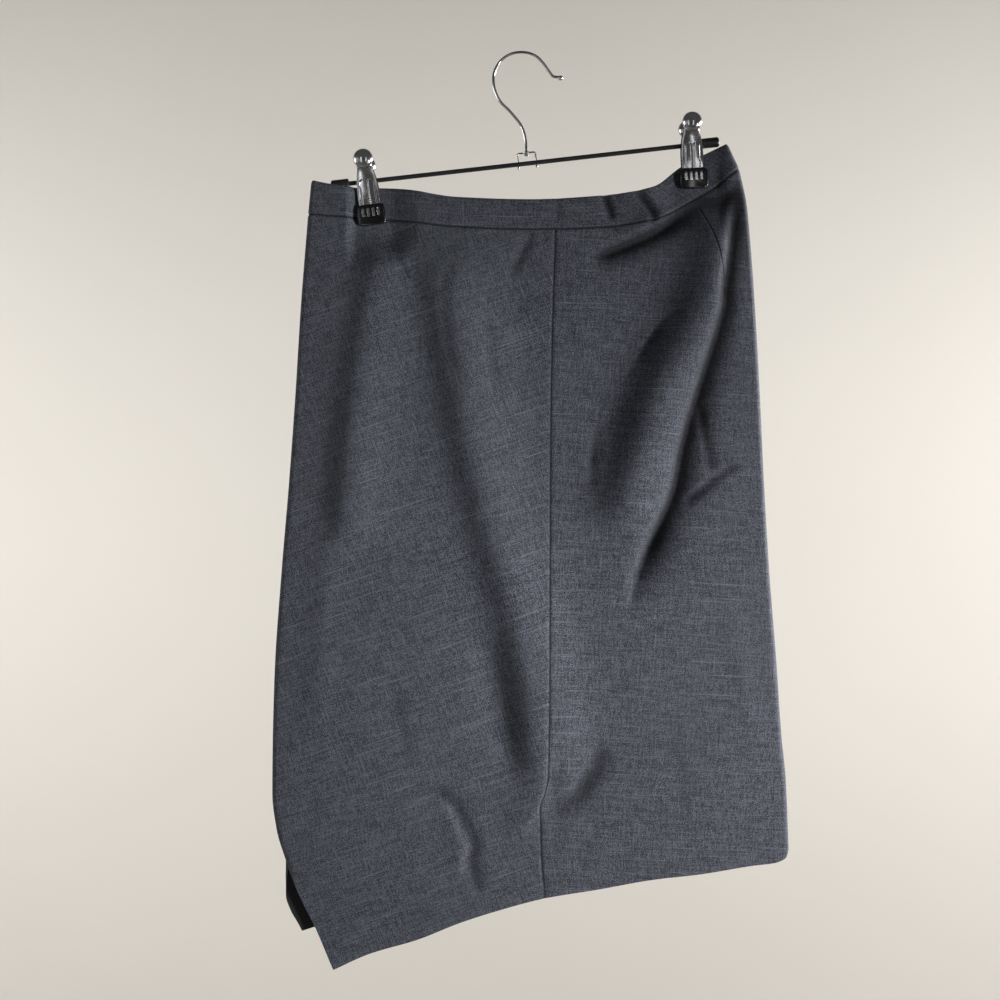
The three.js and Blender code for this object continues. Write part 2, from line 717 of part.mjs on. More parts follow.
// Hook: the wire, its ball end, and a stem with a rivet head under the bail
const bailAt = new THREE.Vector3(bailX, 0, bailTop).applyEuler(hanger.rotation).add(hanger.position);
const stemBottom = bailAt.z - bail.plate / 2 - stem.below;
const stemPoints = [[bailAt.x, stemBottom], [bailAt.x, bailAt.z + stem.straight]];
const wire = wireAlong([...stemPoints, ...hookPath, [hookEnd.x, hookEnd.z]], hookWire);
const endBall = ball(hookBall, ballFacets.end).translate(hookEnd.x, 0, hookEnd.z);
const head = rod(rivet.diameter, rivet.height, 'z', sides.bore);
head.translate(bailAt.x, 0, stemBottom - rivet.height / 2 + overlap);
add('hook', geometryOf(solid(wire).add(solid(endBall)).add(solid(head))), chrome);

// Clips: two sprung plates with round handles and dipped tips, closed on the waistband
const plateHalf = column(plateRows, 'z', 'half');
const plateOut = column(plateRows, 'z', 'out');
const plateLevels = spread(plate.bottom, plate.top, plateFacets.up);
const plateAcross = spread(-1, 1, plateFacets.across);

function plateGeometry(side) {
  const face = (extra) => plateLevels.map((z) => plateAcross.map((across) => {
    const curl = plate.curl * across * across * smooth((z - plate.grip) / plate.curlReach);
    const out = plateOut(z) - curl + extra;
    return new THREE.Vector3(plateHalf(z) * across, side * out, z);
  }));
  return wallBetween(face(plate.wall), face(0));
}

function roundedTip(side) {
  const half = { x: tip.width / 2 - tip.corner, z: tip.height / 2 - tip.corner };
  const outline = new THREE.Shape();
  outline.absarc(half.x, half.z, tip.corner, 0, Math.PI / 2);
  outline.absarc(-half.x, half.z, tip.corner, Math.PI / 2, Math.PI);
  outline.absarc(-half.x, -half.z, tip.corner, Math.PI, Math.PI * 1.5);
  outline.absarc(half.x, -half.z, tip.corner, Math.PI * 1.5, Math.PI * 2);
  const extrusion = { depth: tip.wall, bevelEnabled: false, curveSegments: sides.corner };
  const block = new THREE.ExtrudeGeometry(outline, extrusion);
  block.rotateX(Math.PI / 2);
  const near = pinchedDepth + tip.clear;
  block.translate(0, side > 0 ? near + tip.wall : -near, tip.bottom + tip.height / 2);
  const pocketWidth = 2 * (plateHalf(tip.bottom + tip.height) + pocketRoom.wide);
  const pocket = new THREE.BoxGeometry(pocketWidth, plate.wall + pocketRoom.thick, tip.pocketHeight);
  const pocketMiddle = plate.bottom - pocketRoom.end + tip.pocketHeight / 2;
  pocket.translate(0, side * (plateOut(plate.bottom) + plate.wall / 2), pocketMiddle);
  return geometryOf(solid(block).subtract(solid(pocket)));
}

for (const clip of clips) {
  const frame = new THREE.Group();
  frame.position.set(clip.along, 0, 0);
  frame.rotation.y = -THREE.MathUtils.degToRad(clip.lean);
  hanger.add(frame);
  for (const [face, side] of [['near', -1], ['far', 1]]) {
    const knob = ball(handle.diameter, ballFacets.handle);
    knob.scale(1, handle.depth / handle.diameter, 1);
    knob.translate(0, side * handle.out, handle.up);
    const body = solid(plateGeometry(side)).add(solid(knob));
    add(`clip_${clip.name}_${face}_plate`, geometryOf(body), chrome, frame);
    add(`clip_${clip.name}_${face}_tip`, roundedTip(side), dipped, frame);
  }
  const outside = rod(spring.diameter, spring.length, 'x');
  const bore = rod(spring.bore, spring.length * 2, 'x', sides.bore);
  const coil = geometryOf(solid(outside).subtract(solid(bore)));
  const sleeve = add(`clip_${clip.name}_spring`, coil, chrome, hanger);
  sleeve.position.x = clip.along;
}

export default group;
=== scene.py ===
import math

import bmesh
import bpy
import numpy as np
from mathutils import Matrix, Vector


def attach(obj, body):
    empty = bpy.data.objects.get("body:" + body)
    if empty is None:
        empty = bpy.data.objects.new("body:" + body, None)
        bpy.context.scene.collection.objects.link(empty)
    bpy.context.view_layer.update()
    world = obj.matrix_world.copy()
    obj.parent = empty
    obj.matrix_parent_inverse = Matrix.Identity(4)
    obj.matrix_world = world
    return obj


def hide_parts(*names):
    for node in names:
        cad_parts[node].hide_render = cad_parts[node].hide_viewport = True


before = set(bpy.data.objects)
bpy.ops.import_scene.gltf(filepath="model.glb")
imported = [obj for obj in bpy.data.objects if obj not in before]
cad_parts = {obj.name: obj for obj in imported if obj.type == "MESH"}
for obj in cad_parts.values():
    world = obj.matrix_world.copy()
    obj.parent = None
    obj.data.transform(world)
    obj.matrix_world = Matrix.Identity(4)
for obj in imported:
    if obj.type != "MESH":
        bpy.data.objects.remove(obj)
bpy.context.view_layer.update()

mm = 0.001
print("frame loaded:", len(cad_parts), "solids")

# camera first: level, square on to the bar, the hook's rest at 527, 54 of a 1000 pixel picture
shot = {"x": -24.3, "y": -1200.0, "z": -401.4, "lens": 48.0, "sensor": 36.0}
camData = bpy.data.cameras.new("shotCamera")
camData.lens = shot["lens"]
camData.sensor_width = shot["sensor"]
camData.clip_end = 50
camera = bpy.data.objects.new("shotCamera", camData)
camera.location = (shot["x"] * mm, shot["y"] * mm, shot["z"] * mm)
camera.rotation_euler = (math.radians(90), 0, 0)
bpy.context.scene.collection.objects.link(camera)
bpy.context.scene.camera = camera


# shader maths as plain expressions
class Val:
    def __init__(self, mat, socket):
        self.mat = mat
        self.socket = socket

    def calc(self, operation, *others):
        return self.mat.node("ShaderNodeMath", {"operation": operation}, [self, *others])

    def __add__(self, other):
        return self.calc("ADD", other)

    def __sub__(self, other):
        return self.calc("SUBTRACT", other)

    def __rsub__(self, other):
        return self.calc("MULTIPLY_ADD", -1.0, other)

    def __mul__(self, other):
        return self.calc("MULTIPLY", other)

    def __abs__(self):
        return self.calc("ABSOLUTE")

    __radd__ = __add__
    __rmul__ = __mul__


class Look:
    def __init__(self, owner, output="ShaderNodeOutputMaterial"):
        owner.use_nodes = True
        self.owner = owner
        self.tree = owner.node_tree
        self.tree.nodes.clear()
        self.out = self.tree.nodes.new(output)

    # any node: its settings first, then values or links for its sockets, by order or by name
    def node(self, kind, settings=None, sockets=None, output=0):
        made = self.tree.nodes.new(kind)
        for key, value in (settings or {}).items():
            if key == "stops":
                ramp = made.color_ramp
                while len(ramp.elements) < len(value):
                    ramp.elements.new(0.5)
                for element, (at, color) in zip(ramp.elements, value):
                    element.position = at
                    element.color = (*color, 1)
            else:
                setattr(made, key, value)
        pairs = sockets.items() if isinstance(sockets, dict) else enumerate(sockets or [])
        for key, value in pairs:
            if isinstance(value, Val):
                self.tree.links.new(value.socket, made.inputs[key])
            elif value is not None:
                made.inputs[key].default_value = value
        return Val(self, made.outputs[output])

    def coords(self, which="Object"):
        return self.node("ShaderNodeTexCoord", output=which)

    def uv(self, name="cloth"):
        return self.node("ShaderNodeUVMap", {"uv_map": name})

    def parts(self, vector):
        split = self.node("ShaderNodeSeparateXYZ", None, [vector]).socket.node
        return [Val(self, split.outputs[i]) for i in range(3)]

    def vector(self, x, y, z=0.0):
        return self.node("ShaderNodeCombineXYZ", None, [x, y, z])

    def noise(self, vector, scale=1.0, detail=2.0, rough=0.5):
        names = {"Vector": vector, "Scale": scale, "Detail": detail, "Roughness": rough}
        return self.node("ShaderNodeTexNoise", None, names, "Fac")

    def remap(self, value, low, high, toLow=0.0, toHigh=1.0, smooth=False):
        kind = {"interpolation_type": "SMOOTHSTEP" if smooth else "LINEAR"}
        names = {"Value": value, "From Min": low, "From Max": high, "To Min": toLow, "To Max": toHigh}
        return self.node("ShaderNodeMapRange", kind, names)

    # the Mix node's factor, its two colours and its colour output, by their places
    def mixColor(self, factor, a, b):
        a, b = [part if isinstance(part, Val) else (*part, 1) for part in (a, b)]
        return self.node("ShaderNodeMix", {"data_type": "RGBA"}, {0: factor, 6: a, 7: b}, 2)

    def bump(self, height, strength, distance, normal=None):
        names = {"Strength": strength, "Distance": distance, "Height": height, "Normal": normal}
        return self.node("ShaderNodeBump", None, names, "Normal")

    def finish(self, kind, names):
        self.tree.links.new(self.node(kind, None, names).socket, self.out.inputs["Surface"])
        return self.owner

    def shade(self, color, rough, normal=None, metal=0.0, extra=None):
        names = {"Base Color": color, "Roughness": rough, "Normal": normal, "Metallic": metal}
        return self.finish("ShaderNodeBsdfPrincipled", {**names, **(extra or {})})


def newLook(name):
    return Look(bpy.data.materials.new(name))


def tinted(color, share, extra=0.0):
    return tuple(part * share + extra for part in color)


# smooth curves through short tables, without overshoot
def evalCurve(px, py, x):
    px = np.asarray(px, float)
    x = np.asarray(x, float)
    flat = x.ravel()
    py = np.asarray(py, float)
    level = py[:, None] * np.ones(len(flat)) if py.ndim == 1 else py.reshape(len(px), -1)
    h = np.diff(px)[:, None]
    step = np.diff(level, axis=0) / h
    slope = np.empty_like(level)
    slope[0], slope[-1] = step[0], step[-1]
    turn = step[:-1] * step[1:]
    total = np.where(turn > 0, step[:-1] + step[1:], 1)
    slope[1:-1] = np.where(turn > 0, 2 * turn / total, 0)
    i = np.clip(np.searchsorted(px, flat, side="right") - 1, 0, len(px) - 2)
    n = np.arange(len(flat))
    width = h[i, 0]
    t = np.clip((flat - px[i]) / width, 0, 1)
    a, b = level[i, n], level[i + 1, n]
    sa, sb = slope[i, n] * width, slope[i + 1, n] * width
    y = (2*t**3 - 3*t**2 + 1) * a + (t**3 - 2*t**2 + t) * sa
    y += (3*t**2 - 2*t**3) * b + (t**3 - t**2) * sb
    y += np.where(flat < px[0], slope[0] * (flat - px[0]), 0)
    y += np.where(flat > px[-1], slope[-1] * (flat - px[-1]), 0)
    return y.reshape(x.shape)


def curveOf(rows, source, target):
    ordered = sorted(rows, key=lambda row: row[source])
    px = [row[source] for row in ordered]
    py = [row[target] for row in ordered]
    return lambda x: evalCurve(px, py, x)


def table(names, *rows):
    return [dict(zip(names.split(), row)) for row in rows]


def smooth(t):
    s = np.clip(t, 0, 1)
    return s * s * (3 - 2 * s)


def lerp(a, b, t):
    return a + (b - a) * t


# the garment in millimetres, the same shape as its solids; folds start a little inside the side folds
skirt = {"wall": 1.4, "bandWall": 2.0, "gap": 0.04, "turn": 5.0, "pinched": 2.25, "pinchReachDown": 42,
         "foldsFrom": 2, "foldsRise": 22, "creasesRise": 12, "slitOpening": 0.05, "bandFall": 0.05,
         "hemInside": 0.6, "bandInside": 0.8}

bandRows = table(
    "lowX lowZ topX topZ",
    (-197, -145, -194, -114.5), (-176, -147, -174.5, -118.6), (-150, -148.6, -149, -121),
    (-126, -150, -126, -121.3), (-64, -157.5, -63, -130.6), (4, -160, 4, -132.9), (66, -158, 66, -129.5),
    (112, -151.8, 112, -121.3), (147.6, -133.2, 138.5, -102), (172, -118.8, 164, -88.7),
    (184, -109, 175, -83.5), (191, -104, 180.5, -81.5))
leftFoldRows = table(
    "z x", (-145, -197), (-230, -203.7), (-306, -208.4), (-386, -214.2), (-465, -220.8), (-557, -227.1),
    (-633, -229), (-665, -229.2), (-697, -225.4), (-724.5, -217.2))
slitBackRows = table("z x", (-755, -204.5), (-786, -189.2), (-822.5, -173.7))
slitFrontRows = table("z x", (-743, -217.9), (-758, -217.6), (-771, -213.5), (-783, -206.7), (-790, -203))
rightFoldRows = table(
    "z x", (-104, 191), (-137, 197.7), (-176, 201.2), (-249, 206.1), (-317, 209.7), (-391, 213.3),
    (-465, 217.8), (-545, 224.1), (-616, 229.1), (-650, 232.6), (-717, 235.5))
backSeamRows = table(
    "z x", (-159.6, 25.4), (-196, 24), (-262, 22), (-363, 20.6), (-499, 20), (-646, 18.6), (-661, 15.8),
    (-674, 11.6), (-712, 12.4), (-755.4, 15.6))
backHemRows = table(
    "x z", (-173.7, -822.5), (-142, -807.5), (-98, -793.3), (-61, -778), (-31, -768), (15.6, -755.4),
    (61, -748), (114, -739), (154, -735), (200, -728.5), (222, -726.5), (232, -722.5), (235.5, -717))
frontHemRows = table(
    "x z", (-203, -790), (-189, -786), (-140, -777), (-61, -763), (16, -748), (114, -733), (200, -722.5),
    (230, -719), (235.5, -717))
acrossAt = [0, 0.12, 0.3, 0.5, 0.7, 0.88, 1]
depthNames = "fall leftEdge leftSide leftMid centre rightMid rightSide rightEdge"
backDepthRows = table(
    depthNames,
    (-0.05, 6.2, 9.5, 10, 11, 10, 7, 5), (0, 6, 9.5, 12, 12, 12, 10, 6), (0.08, 5, 11, 15, 14, 14, 13, 9),
    (0.2, 5, 13, 17, 16, 16, 15, 11), (0.4, 5, 15, 19, 18, 18, 15, 10), (0.65, 5, 15, 20, 20, 19, 14, 8),
    (0.85, 5, 12, 18, 19, 18, 13, 6), (1, 6, 10, 15, 16, 15, 11, 5))
frontDepthRows = table(
    depthNames,
    (-0.05, 6.2, 9.5, 8, 8, 8, 6, 5), (0, 6, 9.5, 9, 9, 9, 8, 5), (0.2, 5, 11, 14, 14, 14, 11, 5),
    (0.5, 5, 12, 16, 16, 16, 12, 5), (1, 5, 9, 12, 12, 12, 9, 5))
pinches = table(
    "x z half up down reachLeft reachRight widen",
    (-139.8, -137.5, 14, 17, 18.5, 7.5, 34, 0.25), (152.5, -104, 17, 16, 21, 30, 14, 0))

# folds and creases: height over the cloth (a valley is negative), reach to the left and right of the
# path, how long the ends take to fade, and the path's x, z points from the top down; a sharp one also
# has the power of its falloff and how much painted shade goes into its hollow
foldNames = "height left right fade path power shade"
backFolds = table(
    foldNames,
    (14, 25, 34, 50, [(176, -150), (170, -185), (161, -220), (142, -262), (121, -301), (103, -355),
                      (88, -405), (81, -430)]),
    (11, 20, 36, 60, [(-85, -182), (-77, -205), (-70, -228), (-64, -258), (-57, -304), (-48, -356),
                      (-38, -401), (-23, -455), (-8, -509), (3, -563), (9, -617), (11, -645)]),
    (-3.2, 38, 27, 60, [(134, -200), (117, -226), (95, -263), (75, -310), (62, -345), (56, -365)]),
    (8, 16, 30, 50, [(-126, -160), (-134, -197), (-139, -224), (-145, -268), (-151, -312), (-156, -357),
                     (-159, -401), (-162, -445)]),
    (-3, 15, 13, 40, [(-40, -520), (-31, -560), (-22, -610), (-9, -650)]),
    (3.5, 9, 6, 26, [(184, -112), (165, -119), (147, -130), (124, -146), (103, -158), (82, -166)]),
    (3, 18, 7, 26, [(14, -617), (12, -655), (6, -675), (-4, -688), (-14, -696)]),
    (-14, 4.5, 13, 95, [(190, -118), (187, -140), (182, -175), (176, -212), (174, -232), (164, -266),
                        (151, -307), (138, -352), (130, -392), (115, -428), (99, -464), (93, -486)],
     1.3, 0.3),
    (-8, 4, 9, 26, [(190, -124), (172, -132), (156, -134), (139, -144), (117, -160), (96, -170),
                    (76, -178), (57, -185)], 1.5, 0.65))
frontFolds = table(
    foldNames,
    (-6, 17, 17, 60, [(-136, -175), (-128, -240), (-112, -320), (-96, -400), (-86, -470)]),
    (-4, 20, 24, 80, [(-40, -230), (-22, -330), (-14, -430), (-10, -560)]),
    (-6, 16, 18, 60, [(150, -160), (134, -230), (108, -310), (86, -400), (78, -480)]))

# finer creases that the solids leave out
backCreases = table(
    foldNames,
    (-1.6, 4, 5, 14, [(3.3, -161), (0, -172), (-8, -188), (-16, -203)]),
    (-0.9, 2.5, 3, 6, [(15, -160), (15.5, -166)]),
    (-1.0, 5, 6, 10, [(4, -220), (-10, -234)]),
    (-2.0, 5, 7, 16, [(-85, -656), (-68, -668), (-61, -680), (-53, -696), (-48, -707), (-51, -727),
                      (-41, -748)]),
    (1.4, 8, 6, 20, [(-78, -668), (-66, -690), (-60, -712), (-62, -735)]),
    (-2.2, 3, 5, 12, [(187, -369), (166, -382), (140, -404)]),
    (-2.0, 3, 5, 12, [(153, -318), (157, -342), (164, -378)]),
    (-1.2, 4, 7, 20, [(-66, -190), (-74, -212), (-70, -262), (-62, -300)]),
    (-1.0, 4, 6, 20, [(-36, -240), (-32, -280), (-26, -312)]),
    (-1.2, 4, 7, 10, [(124, -250), (108, -262), (96, -280)]),
    (-1.0, 3, 6, 10, [(138, -232), (122, -242), (106, -262)]),
    (-1.0, 3, 6, 10, [(62, -336), (58, -352), (56, -372)]),
    (-1.0, 3, 4, 10, [(56.7, -357), (55.8, -391)]),
    (-2.6, 9, 8, 22, [(20, -672), (37, -669), (59, -640), (66, -618)]),
    (-3.6, 3, 4, 9, [(68, -128), (71, -138), (76, -151)]),
    (-1.6, 3, 3, 6, [(80, -127), (80.5, -135)]),
    (-3.8, 3, 4.5, 12, [(96, -125), (104, -134), (111.6, -146), (112.5, -156)]),
    (-0.8, 3, 4, 9, [(27, -129), (26.6, -155)]),
    (0.8, 9, 9, 40, [(-176, -430), (-184, -520), (-190, -610)]),
    (-0.9, 7, 7, 30, [(-120, -560), (-104, -640)]),
    (0.9, 8, 10, 30, [(40, -560), (34, -640), (38, -720)]),
    (-0.8, 9, 9, 30, [(130, -600), (140, -690)]),
    (0.7, 7, 8, 30, [(186, -500), (196, -600)]))
frontCreases = table(
    foldNames,
    (-1.3, 4, 5, 16, [(-20, -160), (-12, -182), (-2, -206)]),
    (-1.2, 5, 6, 20, [(60, -640), (52, -676), (60, -716)]),
    (1.2, 9, 9, 40, [(-150, -520), (-142, -620)]),
    (-1.5, 4, 6, 20, [(-160, -330), (-138, -352), (-112, -366)]),
    (-1.0, 6, 6, 24, [(-70, -600), (-58, -690)]),
    (1.0, 10, 10, 40, [(140, -560), (152, -660)]))

seamZ = curveOf(bandRows, "lowX", "lowZ")
bandTopX = curveOf(bandRows, "lowX", "topX")
bandTopZ = curveOf(bandRows, "lowX", "topZ")
leftBackX = curveOf(leftFoldRows + slitBackRows, "z", "x")
leftFrontX = curveOf(leftFoldRows + slitFrontRows, "z", "x")
rightX = curveOf(rightFoldRows, "z", "x")
backSeamX = curveOf(backSeamRows, "z", "x")
backHemZ = curveOf(backHemRows, "x", "z")
frontHemZ = curveOf(frontHemRows, "x", "z")


def depthMap(rows):
    downs = [curveOf(rows, "fall", name) for name in depthNames.split()[1:]]

    def depthAt(across, fall):
        down = np.where(fall < 0, fall * skirt["bandFall"], fall).ravel()
        return evalCurve(acrossAt, np.array([curve(down) for curve in downs]), across)
    return depthAt


backDepth = depthMap(backDepthRows)
frontDepth = depthMap(frontDepthRows)


# evenly spaced points on a soft line through a few
def softLine(points, count):
    p = np.array([points[0], *points, points[-1]], float)
    p[0] = 2 * p[1] - p[2]
    p[-1] = 2 * p[-2] - p[-3]
    found = []
    for i in range(1, len(p) - 2):
        t = np.linspace(0, 1, 24, endpoint=False)[:, None]
        a, b, c, d = p[i - 1], p[i], p[i + 1], p[i + 2]
        found.append(0.5 * (2*b + (c - a)*t + (2*a - 5*b + 4*c - d)*t**2 + (3*b - a - 3*c + d)*t**3))
    line = np.vstack([*found, p[-2]])
    run = np.r_[0, np.cumsum(np.linalg.norm(np.diff(line, axis=0), axis=1))]
    even = np.linspace(0, run[-1], count)
    return np.column_stack([np.interp(even, run, line[:, k]) for k in range(line.shape[1])]), run[-1]


def foldHeight(folds, x, z):
    total = np.zeros(x.size)
    px, pz = x.ravel(), z.ravel()
    for fold in folds:
        line, length = softLine(fold["path"], 60)
        margin = 3 * max(fold["left"], fold["right"]) + 0.3 * fold["fade"] + 5
        low, high = line.min(0) - margin, line.max(0) + margin
        near = np.nonzero((px > low[0]) & (px < high[0]) & (pz > low[1]) & (pz < high[1]))[0]
        if not len(near):
            continue
        qx, qz = px[near], pz[near]
        at = np.argmin((qx[:, None] - line[:, 0])**2 + (qz[:, None] - line[:, 1])**2, axis=1)
        mid = np.clip(at, 1, len(line) - 2)
        along = line[mid + 1] - line[mid - 1]
        along /= np.linalg.norm(along, axis=1)[:, None]
        offX, offZ = qx - line[at, 0], qz - line[at, 1]
        side = offZ * along[:, 0] - offX * along[:, 1]
        run = at * length / (len(line) - 1) + offX * along[:, 0] + offZ * along[:, 1]
        fade = smooth(run / fold["fade"] + 0.3) * smooth((length - run) / fold["fade"] + 0.3)
        width = np.where(side > 0, fold["right"], fold["left"])
        total[near] += fold["height"] * fade * np.exp(-abs(side / width)**fold.get("power", 2))
    return total.reshape(x.shape)


def freeOfClips(x, z):
    free = np.ones_like(x)
    for p in pinches:
        sideways = x - p["x"]
        drop = np.clip(p["z"] - p["down"] - z, 0, skirt["pinchReachDown"])
        reach = np.where(sideways < 0, p["reachLeft"] + drop * p["widen"], p["reachRight"])
        off = np.maximum(abs(sideways) - p["half"], 0) / reach
        above = np.maximum(z - p["z"] - p["up"], 0) / reach
        free = np.minimum(free, smooth(np.hypot(off, above + drop / skirt["pinchReachDown"])))
    return free


def turned(dist, opened):
    t = np.minimum((dist + opened * skirt["turn"]) / skirt["turn"], 1)
    return np.sqrt(np.maximum(1 - (1 - t)**2, 0))


# distance of the cloth's face from the middle plane
def offMiddle(depth, folds, creases, x, z, dist, opened):
    inside = dist - skirt["foldsFrom"]
    free = freeOfClips(x, z)
    folded = depth + foldHeight(folds, x, z) * smooth(inside / skirt["foldsRise"])
    full = np.maximum(folded, skirt["pinched"])
    half = skirt["gap"] / 2
    fine = foldHeight(creases, x, z) * smooth(inside / skirt["creasesRise"]) * free
    return half + lerp(skirt["pinched"] - half, full, free) * turned(dist, opened) + fine


def fromFold(c, width):
    turn = skirt["turn"]
    bent = turn * (1 - np.cos((1 + np.minimum(c, 0)) * math.pi / 2))
    return np.where(c <= 0, bent, turn + (width - turn) * c)


# x and z of the corners where the side folds and the back seam meet the waist seam and the hem
corners = {"leftTop": (-197, -145), "leftHem": (-173.7, -822.5), "leftHemFront": (-203, -790),
           "rightTop": (191, -104), "rightHem": (235.5, -717), "seamTop": (25.4, float(seamZ(25.4))),
           "seamHem": (15.6, -755.4), "slitTop": -724.5}
backSides = {
    "left": {"sign": 1, "foldX": leftBackX, "top": corners["leftTop"], "hem": corners["leftHem"]},
    "right": {"sign": -1, "foldX": rightX, "top": corners["rightTop"], "hem": corners["rightHem"]}}


def slitStart(hem):
    top = corners["leftTop"][1]
    return (top - corners["slitTop"]) / (top - corners[hem][1])


# z between waist seam and hem, or in the band between waist seam and top edge, where x leans too
def inPlace(x, top, hem, fall):
    up = np.clip(-fall, 0, 1)
    inBand = fall < 0
    z = lerp(top - skirt["gap"] / 2, hem, np.maximum(fall, 0))
    z = np.where(inBand, lerp(top + skirt["gap"] / 2, bandTopZ(x), up), z)
    return np.where(inBand, lerp(x, bandTopX(x), up), x), z


# c runs -1 to 0 round the side fold and 0 to 1 on to the seam; fall -1 to 0 is the band, 0 to 1 the panel
def backSurface(side, c, fall):
    s = backSides[side]
    (topX, topZ), (hemX, hemZ) = s["top"], s["hem"]
    (seamTopX, seamTopZ), (seamHemX, seamHemZ) = corners["seamTop"], corners["seamHem"]
    level = np.maximum(fall, 0)
    edge = s["foldX"](lerp(topZ, hemZ, level))
    seam = backSeamX(lerp(seamTopZ, seamHemZ, level)) - s["sign"] * skirt["gap"] / 2
    width = abs(seam - edge)
    dist = fromFold(c, width)
    f = dist / width
    top, hem = seamZ(lerp(topX, seamTopX, f)), backHemZ(lerp(hemX, seamHemX, f))
    x, z = inPlace(edge + s["sign"] * dist, top, hem, fall)
    across = f / 2 if s["sign"] > 0 else 1 - f / 2
    opened = smooth((level - slitStart("leftHem")) / skirt["slitOpening"]) * (s["sign"] > 0)
    off = offMiddle(backDepth(across, fall), backFolds, backCreases, x, z, dist, opened)
    return np.stack([x, -off, z], -1)


# c runs -1 to 2 from the left fold to the right fold on the far side
def frontSurface(c, fall):
    (leftTopX, leftTopZ), (leftHemX, leftHemZ) = corners["leftTop"], corners["leftHemFront"]
    (rightTopX, rightTopZ), (rightHemX, rightHemZ) = corners["rightTop"], corners["rightHem"]
    level = np.maximum(fall, 0)
    left = leftFrontX(lerp(leftTopZ, leftHemZ, level))
    width = rightX(lerp(rightTopZ, rightHemZ, level)) - left
    far = c > 1
    mid = skirt["turn"] + (width - 2 * skirt["turn"]) * c
    dist = np.where((c > 0) & ~far, mid, fromFold(np.where(far, 1 - c, np.minimum(c, 0)), width))
    fromLeft = np.where(far, width - dist, dist)
    nearest = np.minimum(fromLeft, width - fromLeft)
    f = fromLeft / width
    top, hem = seamZ(lerp(leftTopX, rightTopX, f)), frontHemZ(lerp(leftHemX, rightHemX, f))
    x, z = inPlace(left + fromLeft, top, hem, fall)
    opened = np.where(f < 0.5, smooth((level - slitStart("leftHemFront")) / skirt["slitOpening"]), 0)
    off = offMiddle(frontDepth(f, fall), frontFolds, frontCreases, x, z, nearest, opened)
    return np.stack([x, off, z], -1)


def unit(ways):
    return ways / np.linalg.norm(ways, axis=-1)[..., None]


# the way out of the cloth, kept level along the waist seam so that both sides match there
def waysOut(surface, c, fall, cEnd, sense, probe=2e-3, levelled=0.03):
    c0, c1 = np.maximum(c - probe, -1), np.minimum(c + probe, cEnd)
    f0 = np.where(fall < 0, fall, np.maximum(fall - probe, 0))
    f1 = np.where(fall < 0, fall, np.minimum(fall + probe, 1))
    across = surface(c1, fall) - surface(c0, fall)
    down = np.where((fall < 0)[..., None], np.array([0, 0, -1.0]), surface(c, f1) - surface(c, f0))
    way = unit(np.cross(across, down) * sense)
    way[..., 2] *= np.where(fall < 0, 0, smooth(fall / levelled))
    return unit(way)


# a closed wall from a grid of outer points and one of inner points, with uv in metres of cloth
def wallMesh(name, outer, inner, uv, material, maps=None):
    rows, cols = outer.shape[:2]
    n = rows * cols
    at = np.arange(n).reshape(rows, cols)
    a, b, c, d = at[:-1, :-1], at[1:, :-1], at[1:, 1:], at[:-1, 1:]
    faces = [np.stack([a, b, c, d], -1).reshape(-1, 4), np.stack([a, d, c, b], -1).reshape(-1, 4) + n]
    rim = np.r_[at[0, :], at[1:, -1], at[-1, -2::-1], at[-2:0:-1, 0]]
    after = np.roll(rim, -1)
    faces.append(np.stack([rim, after, after + n, rim + n], -1))
    mesh = bpy.data.meshes.new(name)
    points = np.vstack([outer.reshape(-1, 3), inner.reshape(-1, 3)]) * mm
    quads = np.vstack(faces)
    mesh.from_pydata(points.tolist(), [], quads.tolist())
    for label, values in {"cloth": uv, **(maps or {})}.items():
        layer = mesh.uv_layers.new(name=label)
        both = np.vstack([values.reshape(-1, 2)] * 2) * mm
        layer.data.foreach_set("uv", both[quads.ravel()].ravel())
    mesh.polygons.foreach_set("use_smooth", np.ones(len(quads), bool))
    work = bmesh.new()
    work.from_mesh(mesh)
    if work.calc_volume(signed=True) < 0:
        bmesh.ops.reverse_faces(work, faces=work.faces)
    rimEdges = {frozenset(pair) for shift in (0, n)
                for pair in zip((rim + shift).tolist(), (after + shift).tolist())}
    for edge in work.edges:
        if frozenset(v.index for v in edge.verts) in rimEdges:
            edge.smooth = False
    work.to_mesh(mesh)
    work.free()
    mesh.materials.append(material)
    piece = bpy.data.objects.new(name, mesh)
    bpy.context.scene.collection.objects.link(piece)
    return piece


def runAlong(points):
    steps = np.linalg.norm(np.diff(points, axis=1), axis=-1)
    return np.concatenate([np.zeros((len(points), 1)), np.cumsum(steps, 1)], 1)


# cloth coordinates: the run along each row from one column, and the height, both turned by the grain
def clothUv(points, start, grain):
    run = runAlong(points)
    u, v = run - run[:, [start]], points[..., 2]
    cos, sin = math.cos(math.radians(grain)), math.sin(math.radians(grain))
    return np.stack([u * cos + v * sin, v * cos - u * sin], -1)


# columns and rows of each cloth's grid, closer round the side folds and beside the seams
cells = {"back": 2.4, "front": 2.8, "turnSteps": 7, "nearSeam": (3.2, 2.0, 1.2, 0.6)}
turnColumns = list(-1 + np.arange(cells["turnSteps"]) / cells["turnSteps"])


def backColumns(width):
    middle = np.linspace(0, 1, round(width / cells["back"]))[:-2]
    return turnColumns + list(middle) + [1 - d / width for d in cells["nearSeam"]] + [1.0]


frontMiddle = list(np.linspace(0, 1, round(400 / cells["front"])))
frontColumns = turnColumns + frontMiddle + [1 - c for c in reversed(turnColumns)]
backFalls = np.r_[0, 0.001, 0.002, 0.0035, 0.006, np.linspace(0.01, 1, 236)]
frontFalls = np.r_[0, 0.002, 0.006, np.linspace(0.011, 1, 200)]
bandFalls = np.r_[-1, -0.97, -0.93, np.linspace(-0.88, -0.1, 9), -0.06, -0.03, -1e-6]
print("tables ready")

